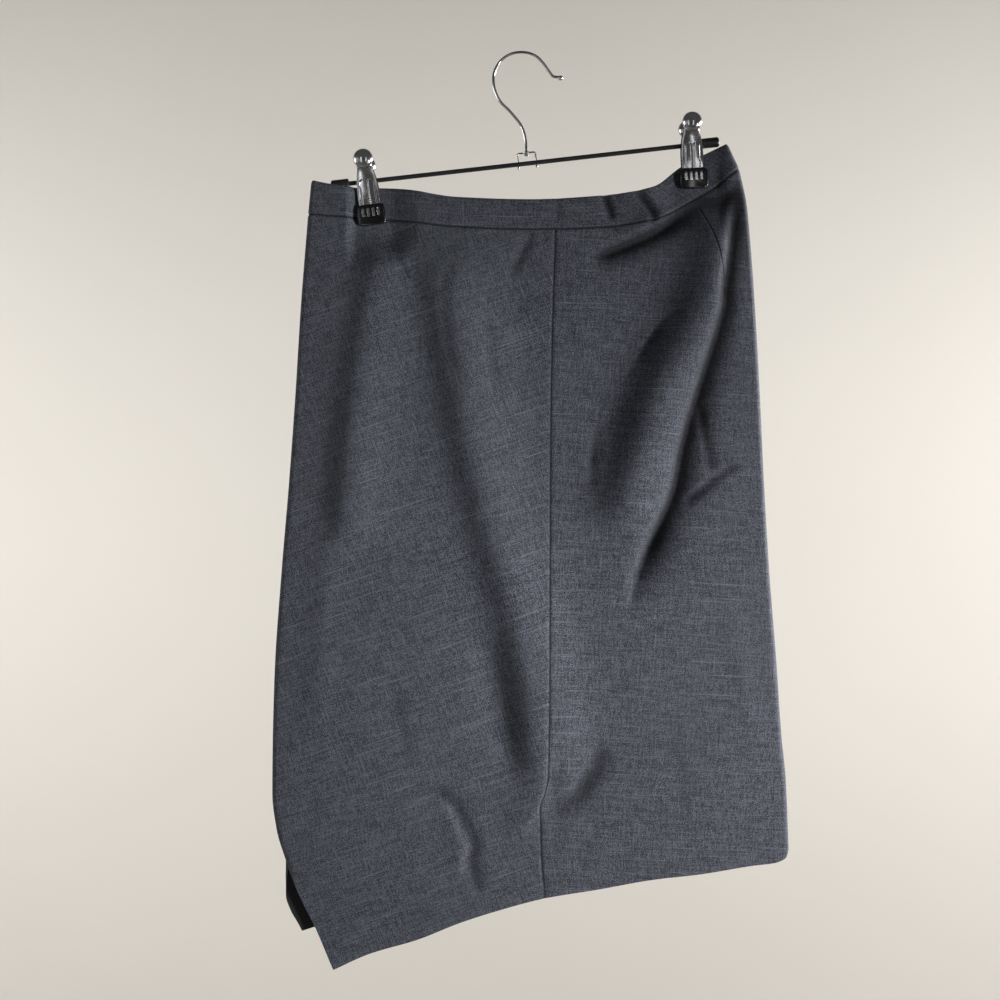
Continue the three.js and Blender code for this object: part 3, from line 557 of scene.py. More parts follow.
# a seam or folded edge sinks a little: depth, and how far from the edge it is felt
edges = {"seam": (0.6, 1.5), "waist": (0.8, 1.2), "hem": (0.5, 1.1), "bandTop": (0.8, 1.3)}


def dip(edge, distance):
    depth, reach = edges[edge]
    return depth * np.exp(-(distance / reach)**2)


def clothGrid(part, falls):
    c, fall = np.meshgrid(np.array(part["columns"], float), np.array(falls, float))
    return part["surface"](c, fall), waysOut(part["surface"], c, fall, part["cEnd"], part["sense"])


def wallOf(name, points, ways, sink, depth, uv, look, maps=None):
    outer, inner = points - ways * sink[..., None], points - ways * depth[..., None]
    return wallMesh(name, outer, inner, uv, look, maps)


# how deep a place lies in the sharp folds and creases, in millimetres, which sets how much shade is painted
# there
def paintedShadeDepth(points, folds, creases):
    x, z = points[..., 0], points[..., 2]
    depth = np.maximum(-foldHeight(creases, x, z), 0)
    for fold in folds:
        depth += np.maximum(-foldHeight([fold], x, z), 0) * fold.get("shade", 0)
    return depth


# the distances from the seams that place the painted seam shade, and the depths that place the painted crease
# shade
def mapsFor(points, folds, creases, fromWaist, fromSeam):
    depth = paintedShadeDepth(points, folds, creases)
    return {"seams": np.stack([fromWaist, fromSeam], -1), "hollows": np.stack([depth, depth * 0], -1)}


# yarn colours, dark to light, how the cloth is woven, and how much of each tone and slub shows; also the
# colour of the painted shade on the darts, seams and creases, and how strongly it is painted into the seams
# and the creases
wool = {"dark": (0.010, 0.011, 0.016), "mid": (0.044, 0.048, 0.0645), "light": (0.124, 0.134, 0.168),
        "slubLight": (0.125, 0.135, 0.163), "slubDark": (0.010, 0.011, 0.016),
        "shadow": (0.006, 0.006, 0.009), "yarnsPerMetre": 1150.0, "yarnRun": 54.4, "rough": 0.86,
        "yarnShare": 0.3, "fleckShare": 0.58, "shortShare": 0.12, "lightSlubs": 0.6, "darkSlubs": 0.4,
        "seamShade": 0.8, "creaseShade": 0.8, "bump": 0.35}

# slubs: a noise's offset, its waves to a metre across and down, and the values it fades in between
slubRows = table(
    "offset across down low high",
    (11, 575, 34, 0.64, 0.76), (23, 13.6, 690, 0.61, 0.73), (31, 287.5, 18.7, 0.34, 0.24),
    (47, 18.7, 287.5, 0.34, 0.24))


def weaveOf(look, u, v, count):
    return (u * (count * math.pi)).calc("SINE") * (v * (count * math.pi)).calc("SINE")


# plain-woven melange: each yarn has its own tone, slubs run both ways, warp and weft change places
def woolLook(name, tint=(0.047, 0.053, 0.063), dart=None):
    look = newLook(name)
    u, v, _ = look.parts(look.uv())
    count, run = wool["yarnsPerMetre"], wool["yarnRun"]
    down = look.noise(look.vector(u * count * 0.5, v * run), 1, 3, 0.65)
    over = look.noise(look.vector(u * run, v * count * 0.5, 7.3), 1, 3, 0.65)
    weave = weaveOf(look, u, v, count)
    onTop = look.remap(weave, -0.3, 0.3)
    yarn = down * onTop + over * (1 - onTop)
    fleck = look.noise(look.vector(u * count, v * count, 2.1), 1, 2, 0.6)
    short = look.noise(look.vector(u * count * 0.7, v * count * 0.22, 5.7), 1, 1, 0.5)
    tone = yarn * wool["yarnShare"] + fleck * wool["fleckShare"] + short * wool["shortShare"]
    stops = [(0.425, wool["dark"]), (0.5, wool["mid"]), (0.575, wool["light"])]
    ramp = look.node("ShaderNodeValToRGB", {"stops": stops}, {"Fac": tone}, "Color")
    wide = look.noise(look.coords(), 5.0, 2, 0.5)
    color = look.mixColor(look.remap(wide, 0.3, 0.7, 0.0, 0.3), ramp, tint)
    slubs = []
    for slub in slubRows:
        cloud = look.noise(look.vector(u * slub["across"], v * slub["down"], slub["offset"]), 1, 1.5)
        slubs.append(look.remap(cloud, slub["low"], slub["high"], smooth=True))
    light, dark = slubs[0].calc("MAXIMUM", slubs[1]), slubs[2].calc("MAXIMUM", slubs[3])
    color = look.mixColor(light * wool["lightSlubs"], color, wool["slubLight"])
    color = look.mixColor(dark * wool["darkSlubs"], color, wool["slubDark"])
    normal = look.bump(weave * 0.35 + tone * 0.5 + light * 0.35, wool["bump"], 0.00035)
    # painted shade along the dart's seam, with a bump that sinks it
    if dart:
        line = dartLine(look, dart)
        color = look.mixColor(line * dart["dark"], color, wool["shadow"])
        normal = look.bump(line * -1, dart["sink"], 0.0012, normal)
    # painted shade along the waist seam and the back seam: the colour darkens within about a millimetre of
    # them
    waist, side, _ = look.parts(look.uv("seams"))
    seamShade = look.remap(waist, 0.0013, 0.0004, smooth=True)
    seamShade = seamShade.calc("MAXIMUM", look.remap(side, 0.0011, 0.0004, smooth=True))
    color = look.mixColor(seamShade * wool["seamShade"], color, wool["shadow"])
    # painted shade in the deep folds and creases: the colour is darker the deeper they lie
    deep = look.parts(look.uv("hollows"))[0]
    color = look.mixColor(look.remap(deep, 0.0, 0.0035, 0, wool["creaseShade"]), color, wool["shadow"])
    rough = look.remap(tone, 0.3, 0.7, wool["rough"] + 0.05, wool["rough"] - 0.05)
    return look.shade(color, rough, normal, extra={
        "Sheen Weight": 0.04, "Sheen Roughness": 0.4, "Sheen Tint": (0.85, 0.9, 1.0, 1),
        "Specular IOR Level": 0.25})


# a dart's seam is a line whose x is a parabola of the height, from under the band to the dart's point; along
# it the colour is darkened with painted shade and a bump sinks it
def dartLine(look, dart):
    x, _, z = look.parts(look.coords())
    t = (z - (dart["top"] + dart["bottom"]) / 2 * mm) * (1 / mm)
    off = x * (1 / mm) - (t * t * dart["bend"] + t * dart["slope"] + dart["x"])
    fade = look.remap(z, (dart["bottom"] - 1) * mm, (dart["bottom"] + dart["fade"]) * mm, smooth=True)
    fade = fade * look.remap(z, (dart["top"] + 3) * mm, dart["top"] * mm)
    return look.remap(abs(off), dart["width"], 0.0, smooth=True) * fade


# each dart's top and bottom, its line's x, slope and bend, how long its lower end fades, the line's width,
# how strongly painted shade darkens it and how deep its bump sinks
leftDart, rightDart = table(
    "top bottom x slope bend fade width dark sink",
    (-156, -240, -98.1, -0.11, 0.0009, 40, 1.1, 0.2, 0.15),
    (-141, -224, 169.7, -0.246, -0.0024, 26, 1.3, 0.9, 0.7))

# the panels: their shape, grid, grain, the column where the cloth's run starts, and their look
panelParts = {
    "left": {"node": "back_left", "name": "backPanel_left", "columns": backColumns(222),
             "falls": backFalls, "surface": lambda c, fall: backSurface("left", c, fall), "cEnd": 1,
             "sense": -1, "grain": 19.0, "start": -1, "folds": backFolds, "creases": backCreases,
             "look": woolLook("woolLeft", (0.045, 0.055, 0.062), leftDart)},
    "right": {"node": "back_right", "name": "backPanel_right", "columns": backColumns(172),
              "falls": backFalls, "surface": lambda c, fall: backSurface("right", c, fall), "cEnd": 1,
              "sense": 1, "grain": 3.0, "start": -1, "folds": backFolds, "creases": backCreases,
              "look": woolLook("woolRight", (0.049, 0.051, 0.066), rightDart)},
    "front": {"node": "front", "name": "frontPanel", "columns": frontColumns,
              "falls": frontFalls, "surface": frontSurface, "cEnd": 2,
              "sense": 1, "grain": 0.5, "start": 0, "folds": frontFolds, "creases": frontCreases,
              "look": woolLook("woolFront")}}
farFromSeam = 9.0

panels = {}
grids = {}
for side, part in panelParts.items():
    points, ways = grids[side] = clothGrid(part, part["falls"])
    fromWaist = abs(points[..., 2] - points[:1, :, 2])
    fromHem = abs(points[..., 2] - points[-1:, :, 2])
    fromSeam = abs(points[..., 0] - points[:, -1:, 0])
    if side == "front":
        fromSeam = np.full_like(fromWaist, farFromSeam)
    sink = dip("seam", fromSeam) + dip("waist", fromWaist) + dip("hem", fromHem)
    maps = mapsFor(points, part["folds"], part["creases"], fromWaist, fromSeam)
    depth = skirt["wall"] - dip("hem", fromHem) * skirt["hemInside"]
    uv = clothUv(points, part["start"], part["grain"])
    panels[part["node"]] = wallOf(part["name"], points, ways, sink, depth, uv, part["look"], maps)
print("panels made")

# the waistband, one strip from the closure round to the closure
strips = [clothGrid(panelParts[side], bandFalls) for side in ("left", "front", "right")]
strips[0] = [grid[:, ::-1] for grid in strips[0]]
points, ways = [np.concatenate(grid, 1) for grid in zip(*strips)]
fromTop = abs(points[..., 2] - points[:1, :, 2])
fromWaist = abs(points[..., 2] - points[-1:, :, 2])
sink = dip("bandTop", fromTop) + dip("waist", fromWaist)
maps = mapsFor(points, [], backCreases, fromWaist, np.full_like(fromWaist, farFromSeam))
# no painted crease shade on the band's far half
maps["hollows"][points[..., 1] > 0] = 0
depth = skirt["bandWall"] - sink * skirt["bandInside"]
uv = np.stack([runAlong(points), fromWaist], -1)
panels["waistband"] = wallOf("waistbandStrip", points, ways, sink, depth, uv, woolLook("woolBand"), maps)
print("waistband made")

# closure tape behind the seam and facing inside the slit, both laid on the panels' inner faces; the
# rows and columns of the panels' grids that they follow
trim = {"inside": 0.3, "wall": 1.0, "tapeRows": slice(6, 88), "tapeReach": 9, "facingReach": 42}


def plainLook(name, color, rough, bump=0.15, count=900.0):
    look = newLook(name)
    u, v, _ = look.parts(look.uv())
    cloud = look.noise(look.coords(), 60.0, 2, 0.5)
    shade = look.mixColor(look.remap(cloud, 0.3, 0.7, 0.0, 0.5), color, tinted(color, 1.9))
    return look.shade(shade, look.remap(cloud, 0.3, 0.7, rough - 0.05, rough + 0.05),
                      look.bump(weaveOf(look, u, v, count), bump, 0.0003))


def laidInside(name, points, ways, look):
    near = np.full(points.shape[:2], skirt["wall"] + trim["inside"])
    return wallOf(name, points, ways, near, near + trim["wall"], clothUv(points, 0, 0), look)


rows, reach = trim["tapeRows"], trim["tapeReach"]
tapeLook = plainLook("tapeWeave", (0.008, 0.008, 0.010), 0.8)
tape = [np.concatenate([left[rows, -reach:], right[rows, :-reach - 1:-1]], 1)
        for left, right in zip(grids["left"], grids["right"])]
panels["closure_tape"] = laidInside("closureTape", *tape, tapeLook)
rows, reach = frontFalls > slitStart("leftHemFront") - 0.005, trim["facingReach"]
facingLook = plainLook("facingCloth", (0.0045, 0.0045, 0.006), 0.55, 0.08, 1600.0)
facing = [grid[rows, :reach] for grid in grids["front"]]
panels["slit_facing"] = laidInside("slitFacing", *facing, facingLook)
for node, piece in panels.items():
    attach(piece, "root")
    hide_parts(node)
print("trims made")

# the clip hanger, in millimetres in the bar's own frame: x along the bar, its origin at the bar's middle
hanger = {"barX": -1.8, "barZ": -98.8, "tilt": 6.43, "bar": 4.0, "barLength": 330.0, "barEdge": 0.5,
          "cap": 9.0, "capLength": 16.0, "capAt": 167.5, "capEdges": (0.7, 1.8), "wire": 2.6, "ball": 4.8}
bail = {"wire": 1.5, "span": 16.4, "above": 9.6, "below": 3.6, "knob": 2.5, "eye": 5.6, "x": 2.1,
        "corner": 1.8, "stemBelow": 1.2, "rivetBelow": 2.15}
clip = {"wall": 0.9, "top": 13.5, "bottom": -36.0, "ball": 17.5, "ballUp": 17.4, "ballOut": 13.6,
        "ballDepth": 11.0, "ribX": 3.6, "ribHalf": 2.75, "ribTop": -2.25, "ribFoot": -24.0, "ribHeight": 0.8,
        "curl": 0.9, "grip": -20.5, "edge": 0.35}
tip = {"width": 25.0, "height": 18.5, "wall": 3.2, "bottom": -40.3, "clear": 2.55, "round": 1.25,
       "corner": 3.2}
coil = {"across": 9.0, "length": 13.0, "wire": 1.15, "turns": 10.0}
slots = {"count": 4, "pitch": 4.6, "wide": 2.4, "deep": 0.64, "tall": 7.5, "down": 3.2, "proud": 0.12}
clips = {"left": {"along": -142.9, "lean": 1.2}, "right": {"along": 150.5, "lean": -3.1}}
plateRows = table(
    "z half out", (-36, 9.4, 3.7), (-24, 9.6, 3.7), (-12, 9.8, 4.6), (-4, 9.4, 5.4), (4, 8.4, 6.4),
    (10, 7, 8.4), (16, 5.6, 11.6))
hookPath = [(-1.3, -77.4), (-3.6, -68.4), (-7.2, -61.6), (-15.8, -51.3), (-23.8, -43.2), (-28.4, -34.2),
            (-30.1, -26.1), (-29.5, -16.8), (-24.9, -7.7), (-18, -1.8), (-11.2, 0.9), (-4.2, 1.5), (2.7, 0.4),
            (9.5, -3.1), (15.3, -9.4), (19.8, -15.7), (23.4, -20.2), (27.9, -20.9), (30, -21.7)]
rivetProfile = [(-1.0, 0.01), (-1.0, 0.8), (-0.9, 1.5), (-0.5, 2.05), (0.1, 2.3), (0.8, 2.3), (1.0, 2.1)]


def moved(x, y, z):
    return Matrix.Translation((x, y, z))


def rotated(degrees, axis):
    return Matrix.Rotation(math.radians(degrees), 4, axis)


barFrame = moved(hanger["barX"], 0, hanger["barZ"]) @ rotated(-hanger["tilt"], "Y")


# plated and painted finishes
def metalLook(name, color, rough, spread=0.05, scratch=0.06):
    look = newLook(name)
    cloud = look.noise(look.coords(), 90.0, 3, 0.6)
    x, y, z = look.parts(look.coords())
    fine = look.noise(look.vector(x * 900, y * 900, z * 60), 1, 2, 0.6)
    tone = look.mixColor(look.remap(cloud, 0.35, 0.75, 0.0, 0.6), color, tinted(color, 0.82))
    return look.shade(tone, look.remap(cloud, 0.3, 0.7, rough, rough + spread),
                      look.bump(fine, scratch, 0.0001), 1.0)


def coatedLook(name, color, rough, grain, scale=500.0, coat=0.0):
    look = newLook(name)
    cloud = look.noise(look.coords(), scale, 2, 0.5)
    wear = look.noise(look.coords(), 45.0, 3, 0.6)
    tone = look.mixColor(look.remap(wear, 0.45, 0.8), color, tinted(color, 2.2, 0.002))
    return look.shade(tone, look.remap(wear, 0.35, 0.7, rough, rough + 0.08),
                      look.bump(cloud, grain, 0.0001), extra={"Coat Weight": coat, "Coat Roughness": 0.08})


chromeWire = metalLook("chromeWire", (0.60, 0.60, 0.61), 0.13)
chromePlate = metalLook("chromePlate", (0.58, 0.58, 0.60), 0.15, 0.07, 0.1)
springSteel = metalLook("springSteel", (0.42, 0.42, 0.44), 0.24)
barPaint = coatedLook("barPaint", (0.010, 0.010, 0.012), 0.38, 0.12, 700.0)
capPlastic = coatedLook("capPlastic", (0.007, 0.007, 0.008), 0.33, 0.08)
dippedVinyl = coatedLook("dippedVinyl", (0.003, 0.003, 0.004), 0.12, 0.05, 260.0, 0.6)


def pieceFrom(name, mesh, place, material):
    mesh.transform(Matrix.Scale(mm, 4) @ place)
    mesh.polygons.foreach_set("use_smooth", np.ones(len(mesh.polygons), bool))
    mesh.materials.clear()
    mesh.materials.append(material)
    made = bpy.data.objects.new(name, mesh)
    bpy.context.scene.collection.objects.link(made)
    return made


def meshFrom(name, work):
    mesh = bpy.data.meshes.new(name)
    work.to_mesh(mesh)
    work.free()
    return mesh


# a turned shape: profile of (along, radius) pairs about the x axis
def turnedMesh(name, profile, segments):
    work = bmesh.new()
    ends = [work.verts.new((x, 0, 0)) for x in (profile[0][0], profile[-1][0])]
    angles = [2 * math.pi * i / segments for i in range(segments)]
    rings = [[work.verts.new((x, r * math.cos(a), r * math.sin(a))) for a in angles] for x, r in profile]
    for i in range(segments):
        j = (i + 1) % segments
        for one, two in zip(rings, rings[1:]):
            work.faces.new((one[i], one[j], two[j], two[i]))
        work.faces.new((ends[0], rings[0][j], rings[0][i]))
        work.faces.new((ends[1], rings[-1][i], rings[-1][j]))
    bmesh.ops.recalc_face_normals(work, faces=work.faces)
    return meshFrom(name, work)


# the profile of a rod with rounded edges
def roundedRod(length, across, start, end):
    half, radius = length / 2, across / 2

    def arc(r, sign):
        return [(sign * (half - r + r * math.sin(t)), radius - r + r * math.cos(t))
                for t in np.linspace(0, math.pi / 2, 7)]
    middle = [(x, radius) for x in np.linspace(-half + start, half - end, 12)[1:-1]]
    return [(x, max(r, 0.01)) for x, r in [*reversed(arc(start, -1)), *middle, *arc(end, 1)]]


# Geometry Nodes: a wire along a line, a coil, and a row of soft bars
def newTree(name, **inputs):
    tree = bpy.data.node_groups.new(name, "GeometryNodeTree")
    for way in ("INPUT", "OUTPUT"):
        tree.interface.new_socket("Geometry", in_out=way, socket_type="NodeSocketGeometry")
    for label, kind in {**inputs, "Material": "Material"}.items():
        tree.interface.new_socket(label, in_out="INPUT", socket_type="NodeSocket" + kind)
    return tree, tree.nodes.new("NodeGroupInput").outputs


# one node with the values or links of its inputs; every node here is used by its first output
def grow(tree, kind, inputs):
    made = tree.nodes.new(kind)
    for label, value in inputs.items():
        if isinstance(value, bpy.types.NodeSocket):
            tree.links.new(value, made.inputs[label])
        else:
            made.inputs[label].default_value = value
    return made.outputs[0]


def closeTree(tree, geometry, given):
    real = grow(tree, "GeometryNodeRealizeInstances", {"Geometry": geometry})
    soft = grow(tree, "GeometryNodeSetShadeSmooth", {"Geometry": real})
    done = grow(tree, "GeometryNodeSetMaterial", {"Geometry": soft, "Material": given["Material"]})
    tree.links.new(done, tree.nodes.new("NodeGroupOutput").inputs["Geometry"])
    return tree


def swept(tree, curve, radius, sides):
    ring = grow(tree, "GeometryNodeCurvePrimitiveCircle", {"Resolution": sides, "Radius": radius})
    return grow(tree, "GeometryNodeCurveToMesh", {"Curve": curve, "Profile Curve": ring, "Fill Caps": True})


def wireTree():
    tree, given = newTree("wireAlongLine", Radius="Float", Sides="Int")
    line = grow(tree, "GeometryNodeMeshToCurve", {"Mesh": given["Geometry"]})
    return closeTree(tree, swept(tree, line, given["Radius"], given["Sides"]), given)


def coilTree():
    tree, given = newTree("springCoil", Turns="Float", Mean="Float", Length="Float", Wire="Float")
    spiral = grow(tree, "GeometryNodeCurveSpiral", {
        "Resolution": 30, "Rotations": given["Turns"], "Start Radius": given["Mean"],
        "End Radius": given["Mean"], "Height": given["Length"]})
    return closeTree(tree, swept(tree, spiral, given["Wire"], 12), given)


def slotTree():
    tree, given = newTree("tipSlots", Count="Int", Pitch="Float", Size="Vector")
    step = grow(tree, "ShaderNodeCombineXYZ", {"X": given["Pitch"]})
    line = grow(tree, "GeometryNodeMeshLine", {"Count": given["Count"], "Offset": step})
    bar = grow(tree, "GeometryNodeMeshCube", {"Size": given["Size"]})
    fine = grow(tree, "GeometryNodeSubdivideMesh", {"Mesh": bar, "Level": 1})
    soft = grow(tree, "GeometryNodeSubdivisionSurface", {"Mesh": fine, "Level": 2, "Edge Crease": 0.35})
    row = grow(tree, "GeometryNodeInstanceOnPoints", {"Points": line, "Instance": soft})
    return closeTree(tree, row, given)


def grown(name, tree, base=None, **values):
    holder = bpy.data.objects.new(name + "Source", base or bpy.data.meshes.new(name + "Base"))
    bpy.context.scene.collection.objects.link(holder)
    modifier = holder.modifiers.new("grow", "NODES")
    modifier.node_group = tree
    for item in tree.interface.items_tree:
        if item.item_type == "SOCKET" and item.in_out == "INPUT" and item.name in values:
            modifier[item.identifier] = values[item.name]
    seen = holder.evaluated_get(bpy.context.evaluated_depsgraph_get())
    mesh = bpy.data.meshes.new_from_object(seen)
    bpy.data.objects.remove(holder)
    return mesh


trees = {"wire": wireTree(), "coil": coilTree(), "slots": slotTree()}


def wireMesh(name, points, across, sides):
    line = bpy.data.meshes.new(name + "Line")
    line.from_pydata([tuple(p) for p in points], [(i, i + 1) for i in range(len(points) - 1)], [])
    return grown(name, trees["wire"], line, Radius=across / 2, Sides=sides, Material=chromeWire)


def ballMesh(name, across, center, squash, segments):
    work = bmesh.new()
    bmesh.ops.create_uvsphere(work, u_segments=segments, v_segments=segments * 2 // 3, radius=across / 2)
    work.transform(moved(*center) @ Matrix.Diagonal((*squash, 1)))
    return meshFrom(name, work)


def joined(name, meshes):
    work = bmesh.new()
    for mesh in meshes:
        work.from_mesh(mesh)
    return meshFrom(name, work)


hardware = {}
barRod = roundedRod(hanger["barLength"], hanger["bar"], hanger["barEdge"], hanger["barEdge"])
hardware["hanger_bar"] = pieceFrom("hangerBar", turnedMesh("hangerBar", barRod, 32), barFrame, barPaint)
capRod = roundedRod(hanger["capLength"], hanger["cap"], *hanger["capEdges"])
for side, turn in (("left", 180), ("right", 0)):
    place = barFrame @ rotated(turn, "Z") @ moved(hanger["capAt"], 0, 0)
    hardware["cap_" + side] = pieceFrom("barCap_" + side, turnedMesh("barCap", capRod, 40), place, capPlastic)

# bail: a bent wire with a knob under each leg, and an eye washer for the hook's stem
bend, up, down = bail["corner"], bail["above"], -bail["below"]
left, right = bail["x"] - bail["span"] / 2, bail["x"] + bail["span"] / 2


def bailCorner(x, start, end):
    angles = np.radians(np.linspace(start, end, 8))
    return [(x + bend * math.cos(a), 0, up - bend + bend * math.sin(a)) for a in angles]


leg = np.linspace(down, up - bend, 6)
bailLine = [(left, 0, z) for z in leg[:-1]] + bailCorner(left + bend, 180, 90)
bailLine += bailCorner(right - bend, 90, 0) + [(right, 0, z) for z in leg[-2::-1]]
washer = turnedMesh("washer", roundedRod(1.6, bail["eye"], 0.35, 0.35), 32)
washer.transform(moved(bail["x"], 0, up) @ rotated(90, "Y"))
knobs = [ballMesh("knob", bail["knob"], (x, 0, down), (1, 1, 0.8), 20) for x in (left, right)]
bailMesh = joined("bail", [wireMesh("bailWire", bailLine, bail["wire"], 16), washer, *knobs])
hardware["bail"] = pieceFrom("bailWire", bailMesh, barFrame, chromeWire)

# hook: one bent wire with a ball at its end and a domed rivet head under the bail
bailAt = barFrame @ Vector((bail["x"], 0, bail["above"]))
route = [(bailAt.x, bailAt.z - bail["stemBelow"]), (bailAt.x, bailAt.z + 3), *hookPath]
hookLine = [(x, 0, z) for x, z in softLine(route, 160)[0]]
rivet = turnedMesh("rivet", rivetProfile, 32)
rivet.transform(moved(bailAt.x, 0, bailAt.z - bail["rivetBelow"]) @ rotated(-90, "Y"))
hookEnd = ballMesh("hookEnd", hanger["ball"], (hookPath[-1][0], 0, hookPath[-1][1]), (1.08, 1, 0.96), 32)
hookMesh = joined("hook", [wireMesh("hookWire", hookLine, hanger["wire"], 24), hookEnd, rivet])
hardware["hook"] = pieceFrom("hookWire", hookMesh, Matrix(), chromeWire)

# clip plates with their pressed ribs, and ball handles
plateHalf = curveOf(plateRows, "z", "half")
plateOut = curveOf(plateRows, "z", "out")


def plateMesh(name, side):
    down = np.linspace(clip["top"], clip["bottom"], 90)
    z, across = np.meshgrid(down, np.linspace(-1, 1, 49), indexing="ij")
    x = plateHalf(z) * across
    curl = clip["curl"] * across**2 * smooth((z - clip["grip"]) / 12)
    off = np.hypot(abs(x) - clip["ribX"], np.maximum(z - clip["ribTop"], 0))
    rib = clip["ribHeight"] * smooth((clip["ribHalf"] - off) / 1.1 + 0.5)
    out = plateOut(z) - curl + rib * smooth((z - clip["ribFoot"]) / 2)
    edge = clip["edge"] * np.exp(-((1 - abs(across)) * plateHalf(z) / 0.5)**2)
    outer = np.stack([x, side * (out + clip["wall"] - edge), z], -1)
    inner = np.stack([x, side * (out + edge / 2), z], -1)
    piece = wallMesh(name, outer, inner, np.stack([x, z], -1), chromePlate)
    mesh = piece.data
    bpy.data.objects.remove(piece)
    mesh.transform(Matrix.Scale(1 / mm, 4))
    return mesh


def tipMesh(name, side):
    r = tip["corner"]
    acrossTo, upTo = tip["width"] / 2 - r, tip["height"] / 2 - r
    ring = []
    for cx, cz, start in ((1, 1, 0), (-1, 1, 90), (-1, -1, 180), (1, -1, 270)):
        for a in np.radians(start + np.linspace(0, 90, 9)):
            ring.append((cx * acrossTo + r * math.cos(a), cz * upTo + r * math.sin(a)))
    work = bmesh.new()
    near, far = [[work.verts.new((x, side * (tip["clear"] + depth), z)) for x, z in ring]
                 for depth in (0, tip["wall"])]
    work.faces.new(near)
    work.faces.new(far)
    for i in range(len(ring)):
        j = (i + 1) % len(ring)
        work.faces.new((near[i], near[j], far[j], far[i]))
    rims = [edge for edge in work.edges if abs(edge.verts[0].co.y - edge.verts[1].co.y) < 1e-6]
    bmesh.ops.bevel(work, geom=rims, offset=tip["round"], segments=5, affect="EDGES", profile=0.5)
    bmesh.ops.recalc_face_normals(work, faces=work.faces)
    bmesh.ops.translate(work, verts=work.verts, vec=(0, 0, tip["bottom"] + tip["height"] / 2))
    return meshFrom(name, work)


# the bright bars that show through a tip's slots stand a little proud of its face
def slotBars(sign):
    bars = grown("tipSlots", trees["slots"], Count=slots["count"], Pitch=slots["pitch"],
                 Size=(slots["wide"], slots["deep"], slots["tall"]), Material=chromePlate)
    start = -(slots["count"] - 1) / 2 * slots["pitch"]
    outside = sign * (tip["clear"] + tip["wall"] + slots["proud"] - slots["deep"] / 2)
    bars.transform(moved(start, outside, tip["bottom"] + tip["height"] - slots["down"] - slots["tall"] / 2))
    return bars


extras = []
for side, at in clips.items():
    middle = barFrame @ moved(at["along"], 0, 0)
    place = middle @ rotated(-at["lean"], "Y")
    for face, sign in (("near", -1), ("far", 1)):
        handle = ballMesh("handle", clip["ball"], (0, sign * clip["ballOut"], clip["ballUp"]),
                          (1, clip["ballDepth"] / clip["ball"], 1), 48)
        plate = joined("clipPlate", [plateMesh("plate", sign), handle])
        for part, mesh, finish in (("Plate", plate, chromePlate), ("Tip", tipMesh("tip", sign), dippedVinyl)):
            piece = pieceFrom(f"clip{part}_{side}_{face}", mesh, place, finish)
            hardware[f"clip_{side}_{face}_{part.lower()}"] = piece
        extras.append((None, pieceFrom(f"tipSlots_{side}_{face}", slotBars(sign), place, chromePlate)))
    length = coil["length"] - coil["wire"]
    spring = grown("springCoil", trees["coil"], Turns=coil["turns"], Mean=(coil["across"] - coil["wire"]) / 2,
                   Length=length, Wire=coil["wire"] / 2, Material=springSteel)
    spring.transform(rotated(90, "Y") @ moved(0, 0, -length / 2))
    hardware[f"clip_{side}_spring"] = pieceFrom("springCoil_" + side, spring, middle, springSteel)
print("hanger made")

for node, piece in [*hardware.items(), *extras]:
    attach(piece, "root")
    if node:
        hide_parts(node)

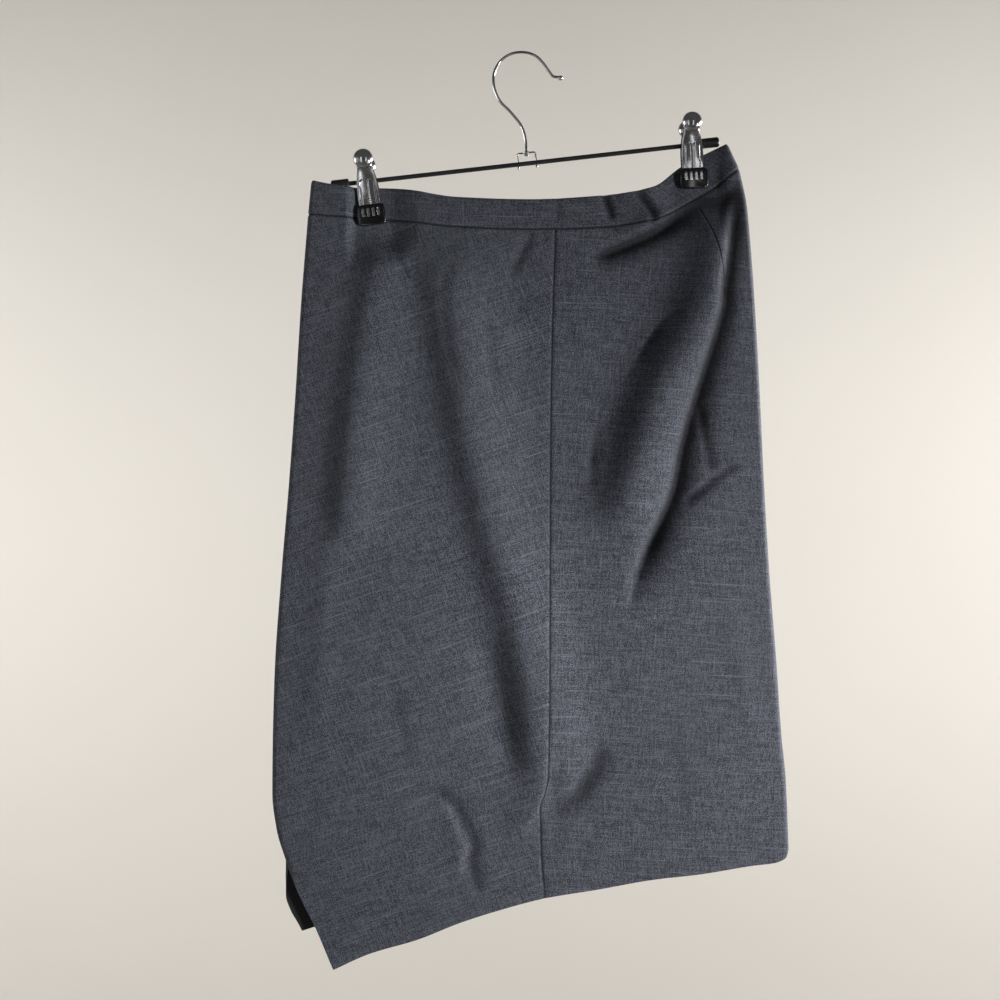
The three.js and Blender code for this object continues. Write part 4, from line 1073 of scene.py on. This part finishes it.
# studio: a pale wall and floor, a low key lamp from the right, weak fills, two lamps on the wall, and two
# tall strips that show only as glints on the metal
studio = {"wallY": 2.2, "floorZ": -1.85, "reach": 8, "top": 6, "wall": (0.70, 0.675, 0.635),
          "floor": (0.66, 0.64, 0.61), "glow": 0.135}
lamps = table(
    "name at aim size power spread color tall",
    ("keyLamp", (3.1, -1.85, -1.35), (-0.28, 0, -0.5), 0.6, 5.15, 22, (1, 0.98, 0.95)),
    ("leftFill", (-2.2, -1.6, -0.3), (0, 0, -0.6), 1.6, 1.2, 120, (0.97, 0.99, 1)),
    ("backLamp", (2.3, 1.1, 0.1), (0, 0.02, -0.4), 0.7, 9, 50, (1, 1, 1)),
    ("wallRight", (2.6, 0.1, -0.2), (0.6, 2.2, -0.55), 1.4, 46, 130, (1, 0.985, 0.955)),
    ("wallLeft", (-2.6, 0.1, -0.2), (-0.6, 2.2, -0.55), 1.4, 38, 130, (1, 0.985, 0.955)),
    ("glintLeft", (-0.55, -1.3, -0.25), (-0.1, 0, -0.1), 0.16, 0.9, 180, (1, 1, 1), 1.0),
    ("glintRight", (0.4, -1.4, -0.2), (0, 0, -0.1), 0.1, 0.6, 180, (1, 1, 1), 0.9))


def stagePlane(side, low, high):
    color = studio[side]
    look = newLook(side + "Paint")
    cloud = look.noise(look.coords(), 1.2, 2, 0.5)
    shade = look.mixColor(look.remap(cloud, 0.3, 0.7), color, tinted(color, 0.97))
    mesh = bpy.data.meshes.new("studio" + side.title())
    corners = [(sign * studio["reach"], *at) for sign, at in ((-1, low), (1, low), (1, high), (-1, high))]
    mesh.from_pydata(corners, [], [(0, 1, 2, 3)])
    mesh.materials.append(look.shade(shade, 0.9, extra={"Specular IOR Level": 0.2}))
    plane = bpy.data.objects.new(mesh.name, mesh)
    bpy.context.scene.collection.objects.link(plane)


stagePlane("floor", (-studio["reach"], studio["floorZ"]), (studio["reach"], studio["floorZ"]))
stagePlane("wall", (studio["wallY"], studio["floorZ"]), (studio["wallY"], studio["top"]))

for lamp in lamps:
    data = bpy.data.lights.new(lamp["name"], "AREA")
    data.shape = "DISK"
    data.size = lamp["size"]
    data.spread = math.radians(lamp["spread"])
    data.energy = lamp["power"]
    data.color = lamp["color"]
    light = bpy.data.objects.new(lamp["name"], data)
    if "tall" in lamp:
        data.shape = "RECTANGLE"
        data.size_y = lamp["tall"]
        light.visible_diffuse = False
    light.location = lamp["at"]
    aim = Vector(lamp["aim"]) - Vector(lamp["at"])
    light.rotation_euler = aim.to_track_quat("-Z", "Y").to_euler()
    bpy.context.scene.collection.objects.link(light)

sky = Look(bpy.data.worlds.new("paleRoom"), "ShaderNodeOutputWorld")
height = sky.remap(sky.parts(sky.coords("Generated"))[2], -1, 1)
stops = [(0.4, (0.3, 0.3, 0.294)), (0.75, (0.6, 0.6, 0.588))]
pale = sky.node("ShaderNodeValToRGB", {"stops": stops}, {"Fac": height}, "Color")
sky.finish("ShaderNodeBackground", {"Color": pale, "Strength": studio["glow"]})
bpy.context.scene.world = sky.owner
bpy.context.scene.view_settings.view_transform = "Standard"
print("studio ready")
